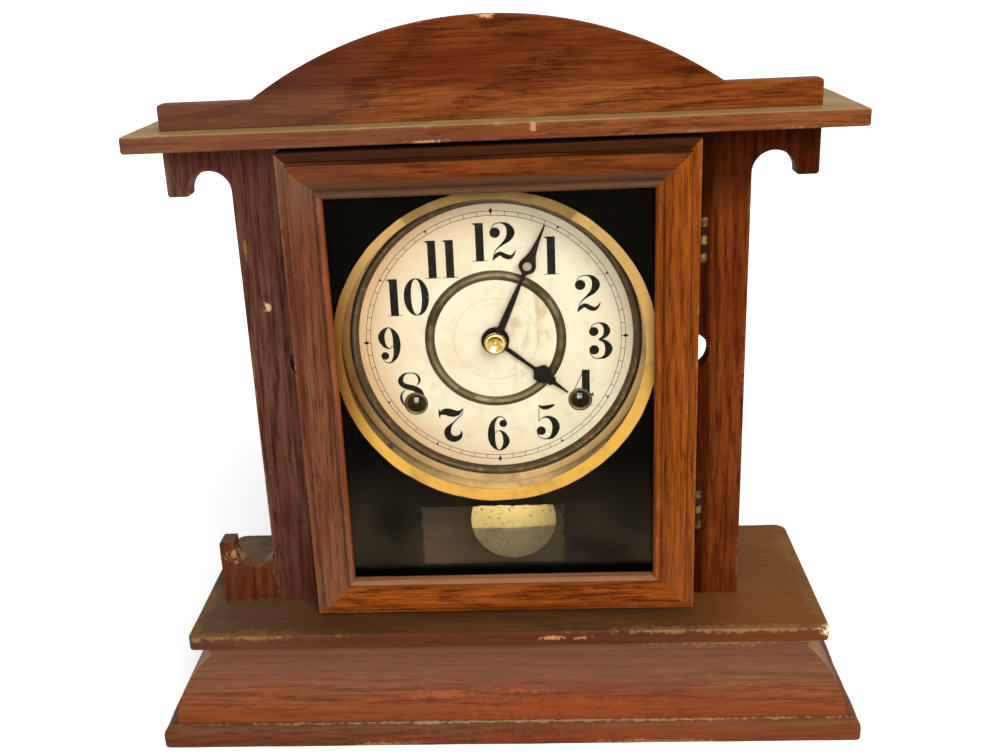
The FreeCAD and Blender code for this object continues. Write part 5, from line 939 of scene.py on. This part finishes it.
def hand(name, stations, ring, angle):
    """A flat hand along its own axis at an angle clockwise from twelve: half the width at each station,
    smoothly joined, less the round hole half width sqrt(r^2 - (s - centre)^2). Both halves share the middle
    line where there is no hole."""
    front, back = [corner.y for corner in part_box(name)]
    rows = through(stations, 12)
    along, outer = rows[:, 0] * MM, rows[:, 1] * MM
    inner = np.zeros_like(along)
    if ring:
        centre, radius = ring[0] * MM, ring[1] * MM
        extra = centre + radius * np.cos(np.linspace(np.pi, 0, 25))
        merged = np.unique(np.round(np.concatenate([along, extra]), 7))
        outer = np.interp(merged, along, outer)
        along = merged
        inner = np.sqrt(np.clip(radius ** 2 - (along - centre) ** 2, 0, None))
    outer = np.maximum(outer, 1.2 * BEVEL)
    across = np.stack([inner, np.maximum(outer - BEVEL, inner), outer, outer, inner], -1)
    depth = np.array([front, front, front + BEVEL, back, back])
    sine, cosine = math.sin(math.radians(angle)), math.cos(math.radians(angle))
    points, faces, start = [], [], 0
    for side in (-1, 1):
        x = side * across
        grid = np.stack([x * cosine + along[:, None] * sine, np.broadcast_to(depth, x.shape),
                         DIAL_HEIGHT - x * sine + along[:, None] * cosine], -1)
        number = start + np.arange(x.size).reshape(x.shape)
        for k in range(5):
            beside = (k + 1) % 5
            quads = np.stack([number[:-1, k], number[1:, k], number[1:, beside], number[:-1, beside]], -1)
            if k == 4:
                quads = quads[(inner[:-1] > 1e-6) | (inner[1:] > 1e-6)]
            faces += quads.tolist()
        faces += [number[0].tolist(), number[-1].tolist()]
        points.append(grid.reshape(-1, 3))
        start += x.size
    piece(name, np.concatenate(points), faces, name + "_set", blued, (name,), smooth=30,
          turn_out=True)


HOUR_BOSS = 6.5
boss = [(HOUR_BOSS * math.cos(a), HOUR_BOSS * math.sin(a))
        for a in np.radians([177, 160, 140, 115, 90, 65, 40, 20])]
hand("minute_hand",
     [(-2.6, 0.3), (-1.8, 1.9), (0, 2.6), (2, 2), (6, 1.75), (20, 1.35), (32, 0.85), (34.9, 1.3), (36.4, 3),
      (38, 3.85), (40, 3.8), (42, 2.9), (45, 1.75), (50, 1), (55, 0.6), (58.9, 0.38)], (38.7, 2), 23.9)
hand("hour_hand",
     [*boss, (6.6, 1.1), (12, 0.95), (21.5, 0.8), (23.4, 1.7), (25, 3.9), (27, 4.3), (29.6, 3.7), (31.8, 2),
      (33.2, 2.4), (34.2, 1.1), (38, 0.6), (42.3, 0.35)], None, 128.6)
nut_front, nut_back = [corner.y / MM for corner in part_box("hand_nut")]
nut_face = [(5, 0.6), (4.4, 0.1), (4, 0), (3.8, 0.1), (2.4, 1.1), (0.9, 1.7), (0.8, 1.1), (0.5, 0.8),
            (0, 0.7)]
nut_section = [(0, nut_back), (5, nut_back), (5.1, nut_back - 0.5),
               *[(radius, nut_front + depth) for radius, depth in nut_face]]
spun("hand_nut", nut_section, DIAL, metal("nut_brass", "#e6c57c", "#8f6a34", 0.22, 0.5, 200),
     "minute_hand_set", turns=64, closed=False)

# Movement: brass plates and wheels on steel arbors, the time train on the right and the strike train on the
# left, with blued mainsprings. It hangs behind the dial and can be seen when the back is off.
arbor_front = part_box("time_main_wheel")[0].y / MM + 6
dress(metal("brass_and_steel", "#d9b15f", "#7d5a2a", 0.32, ahead=(arbor_front, "#b5b0a8")),
      "time_main_wheel", "strike_main_wheel")
dress(brass, "front_plate", "back_plate", "time_second_wheel", "centre_wheel", "third_wheel", "escape_wheel",
      "strike_second_wheel", "minute_wheel", "hour_wheel", "cannon_pinion")
dress(metal("spring_steel", "#55585e", "#2a2420", 0.35), "mainsprings", "verge", "strike_hammer",
      "gong_coil", "pendulum_rod")

# Pendulum bob: a lens of thin brass spun over lead, held on the rod by a small nut at its foot. Its lacquer
# is spotted, and it is painted two-toned: light above, a painted reflection, and dull below, painted shade.
BOB_RADIUS = 21.2
BOB_RISE = 2.5
BOB_RIM = 1.0
BOB_LIGHT_LINE = 85.0
bob_low, bob_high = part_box("pendulum_bob")
bob_x, middle, _ = (bob_low + bob_high) / 2 / MM
lens = bulge((0, 0), (2 * BOB_RADIUS, 0), BOB_RISE, 33)[16:]
bob_section = [*[(r - BOB_RADIUS, middle - BOB_RIM - rise) for r, rise in lens],
               *[(r - BOB_RADIUS, middle + BOB_RIM + rise) for r, rise in lens[::-1]]]


def bob_finish():
    """Lacquered brass with brown spots all over, painted two-toned: warm cream above a wavy line, a painted
    reflection of the light above, and dull greenish grey below, painted shade."""
    f = Finish("bob_brass")
    height = f.plus(f.part("Z"), f.times(f.noise(60, 3, 0.6), 5 * MM))
    clouds = f.noise(70, 4, 0.65)
    spots = f.noise(520, 3, 0.6)
    # Painted reflection above the line and painted shade below it.
    upper = f.spread("#f8d486", "#e6bb70", clouds, 0.4, 0.7, 0.4)
    lower = f.spread("#9a8a66", "#756a56", clouds, 0.4, 0.7)
    colour = f.spread(lower, upper, height, (BOB_LIGHT_LINE - 0.6) * MM, (BOB_LIGHT_LINE + 0.6) * MM)
    colour = f.spread(colour, "#5a452a", spots, 0.59, 0.68, 0.7)
    return f.principled(spots, 0.03, 0.3, base_color=colour, metallic=0.3, roughness=0.42)


spun("pendulum_bob", bob_section, (bob_x, bob_high.z / MM - BOB_RADIUS), bob_finish(), "pendulum",
     turns=96, closed=False)

# Studio: a plain pale floor that runs out of sight, one large soft lamp high on the front right, a weaker
# one on the front left, and an even white surround.


def seen_white(f):
    """1 for rays that look, straight, by a mirror or through glass, and 0 for those that carry light."""
    camera_ray = f.add("LightPath")
    kinds = camera_ray.node.outputs
    bounced = f.math("MAXIMUM", kinds["Is Glossy Ray"], kinds["Is Transmission Ray"])
    return f.math("MAXIMUM", camera_ray, bounced)


def lit_white(name):
    """White to the eye and in reflections, but it still takes the object's shadow."""
    f = Finish(name)
    far = f.between(f.length(f.place), 0.22, 0.75, 0.5, 1)
    glow = f.add("Emission", {"Color": (1, 1, 1, 1), "Strength": f.times(far, seen_white(f))})
    white = f.add("BsdfDiffuse", {"Color": (0.80, 0.80, 0.80, 1)})
    return f.done(f.add("AddShader", {0: white, 1: glow}))


FLOOR_REACH = 14.0
floor_mesh = bpy.data.meshes.new("floor")
corners = [(x * FLOOR_REACH, y * FLOOR_REACH, 0) for x, y in ((-1, -1), (1, -1), (1, 1), (-1, 1))]
floor_mesh.from_pydata(corners, [], [(0, 1, 2, 3)])
floor = bpy.data.objects.new("floor", floor_mesh)
bpy.context.collection.objects.link(floor)
floor_mesh.materials.append(lit_white("studio_floor"))

sky = Finish("studio", bpy.data.worlds.new("studio"), "OutputWorld")
level = sky.add("MapRange", {0: seen_white(sky), 3: 0.35, 4: 1})
bpy.context.scene.world = sky.done(sky.add("Background", {0: (1, 1, 1, 1), 1: level}))


def lamp(name, at, size, power):
    """A square soft lamp that faces the middle of the clock."""
    light = bpy.data.lights.new(name, "AREA")
    light.size = size
    light.energy = power
    made = bpy.data.objects.new(name, light)
    made.rotation_euler = (Vector((0, 0, 0.17)) - Vector(at)).to_track_quat("-Z", "Y").to_euler()
    made.location = at
    bpy.context.collection.objects.link(made)


lamp("key_lamp", (0.60, -1.55, 1.25), 0.9, 32)
lamp("front_lamp", (-0.15, -2.0, 0.60), 1.4, 24)

# Camera: where the photograph was taken from, a little above the clock's top and looking down, turned and
# tipped as found by fitting the case's corners.
CAMERA_AT = (0.0193, -0.5291, 0.3495)
PITCH, YAW, ROLL = math.radians(19.8), math.radians(-3.3), math.radians(2.7)
FOCAL_PIXELS = 1182.0
PHOTO = (1008, 756)
CENTRE_PIXEL = (474.4, 387.4)
lens_data = bpy.data.cameras.new("camera")
lens_data.sensor_width = 36
lens_data.lens = FOCAL_PIXELS / PHOTO[0] * lens_data.sensor_width
lens_data.shift_x = (PHOTO[0] / 2 - CENTRE_PIXEL[0]) / PHOTO[0]
lens_data.shift_y = (CENTRE_PIXEL[1] - PHOTO[1] / 2) / PHOTO[0]
lens_data.clip_start = 0.01
camera = bpy.data.objects.new("camera", lens_data)
camera.matrix_world = (Matrix.Translation(CAMERA_AT) @ Matrix.Rotation(-YAW, 4, "Z")
                       @ Matrix.Rotation(math.pi / 2 - PITCH, 4, "X") @ Matrix.Rotation(-ROLL, 4, "Z"))
bpy.context.collection.objects.link(camera)
bpy.context.scene.camera = camera
bpy.context.scene.view_settings.view_transform = "Standard"
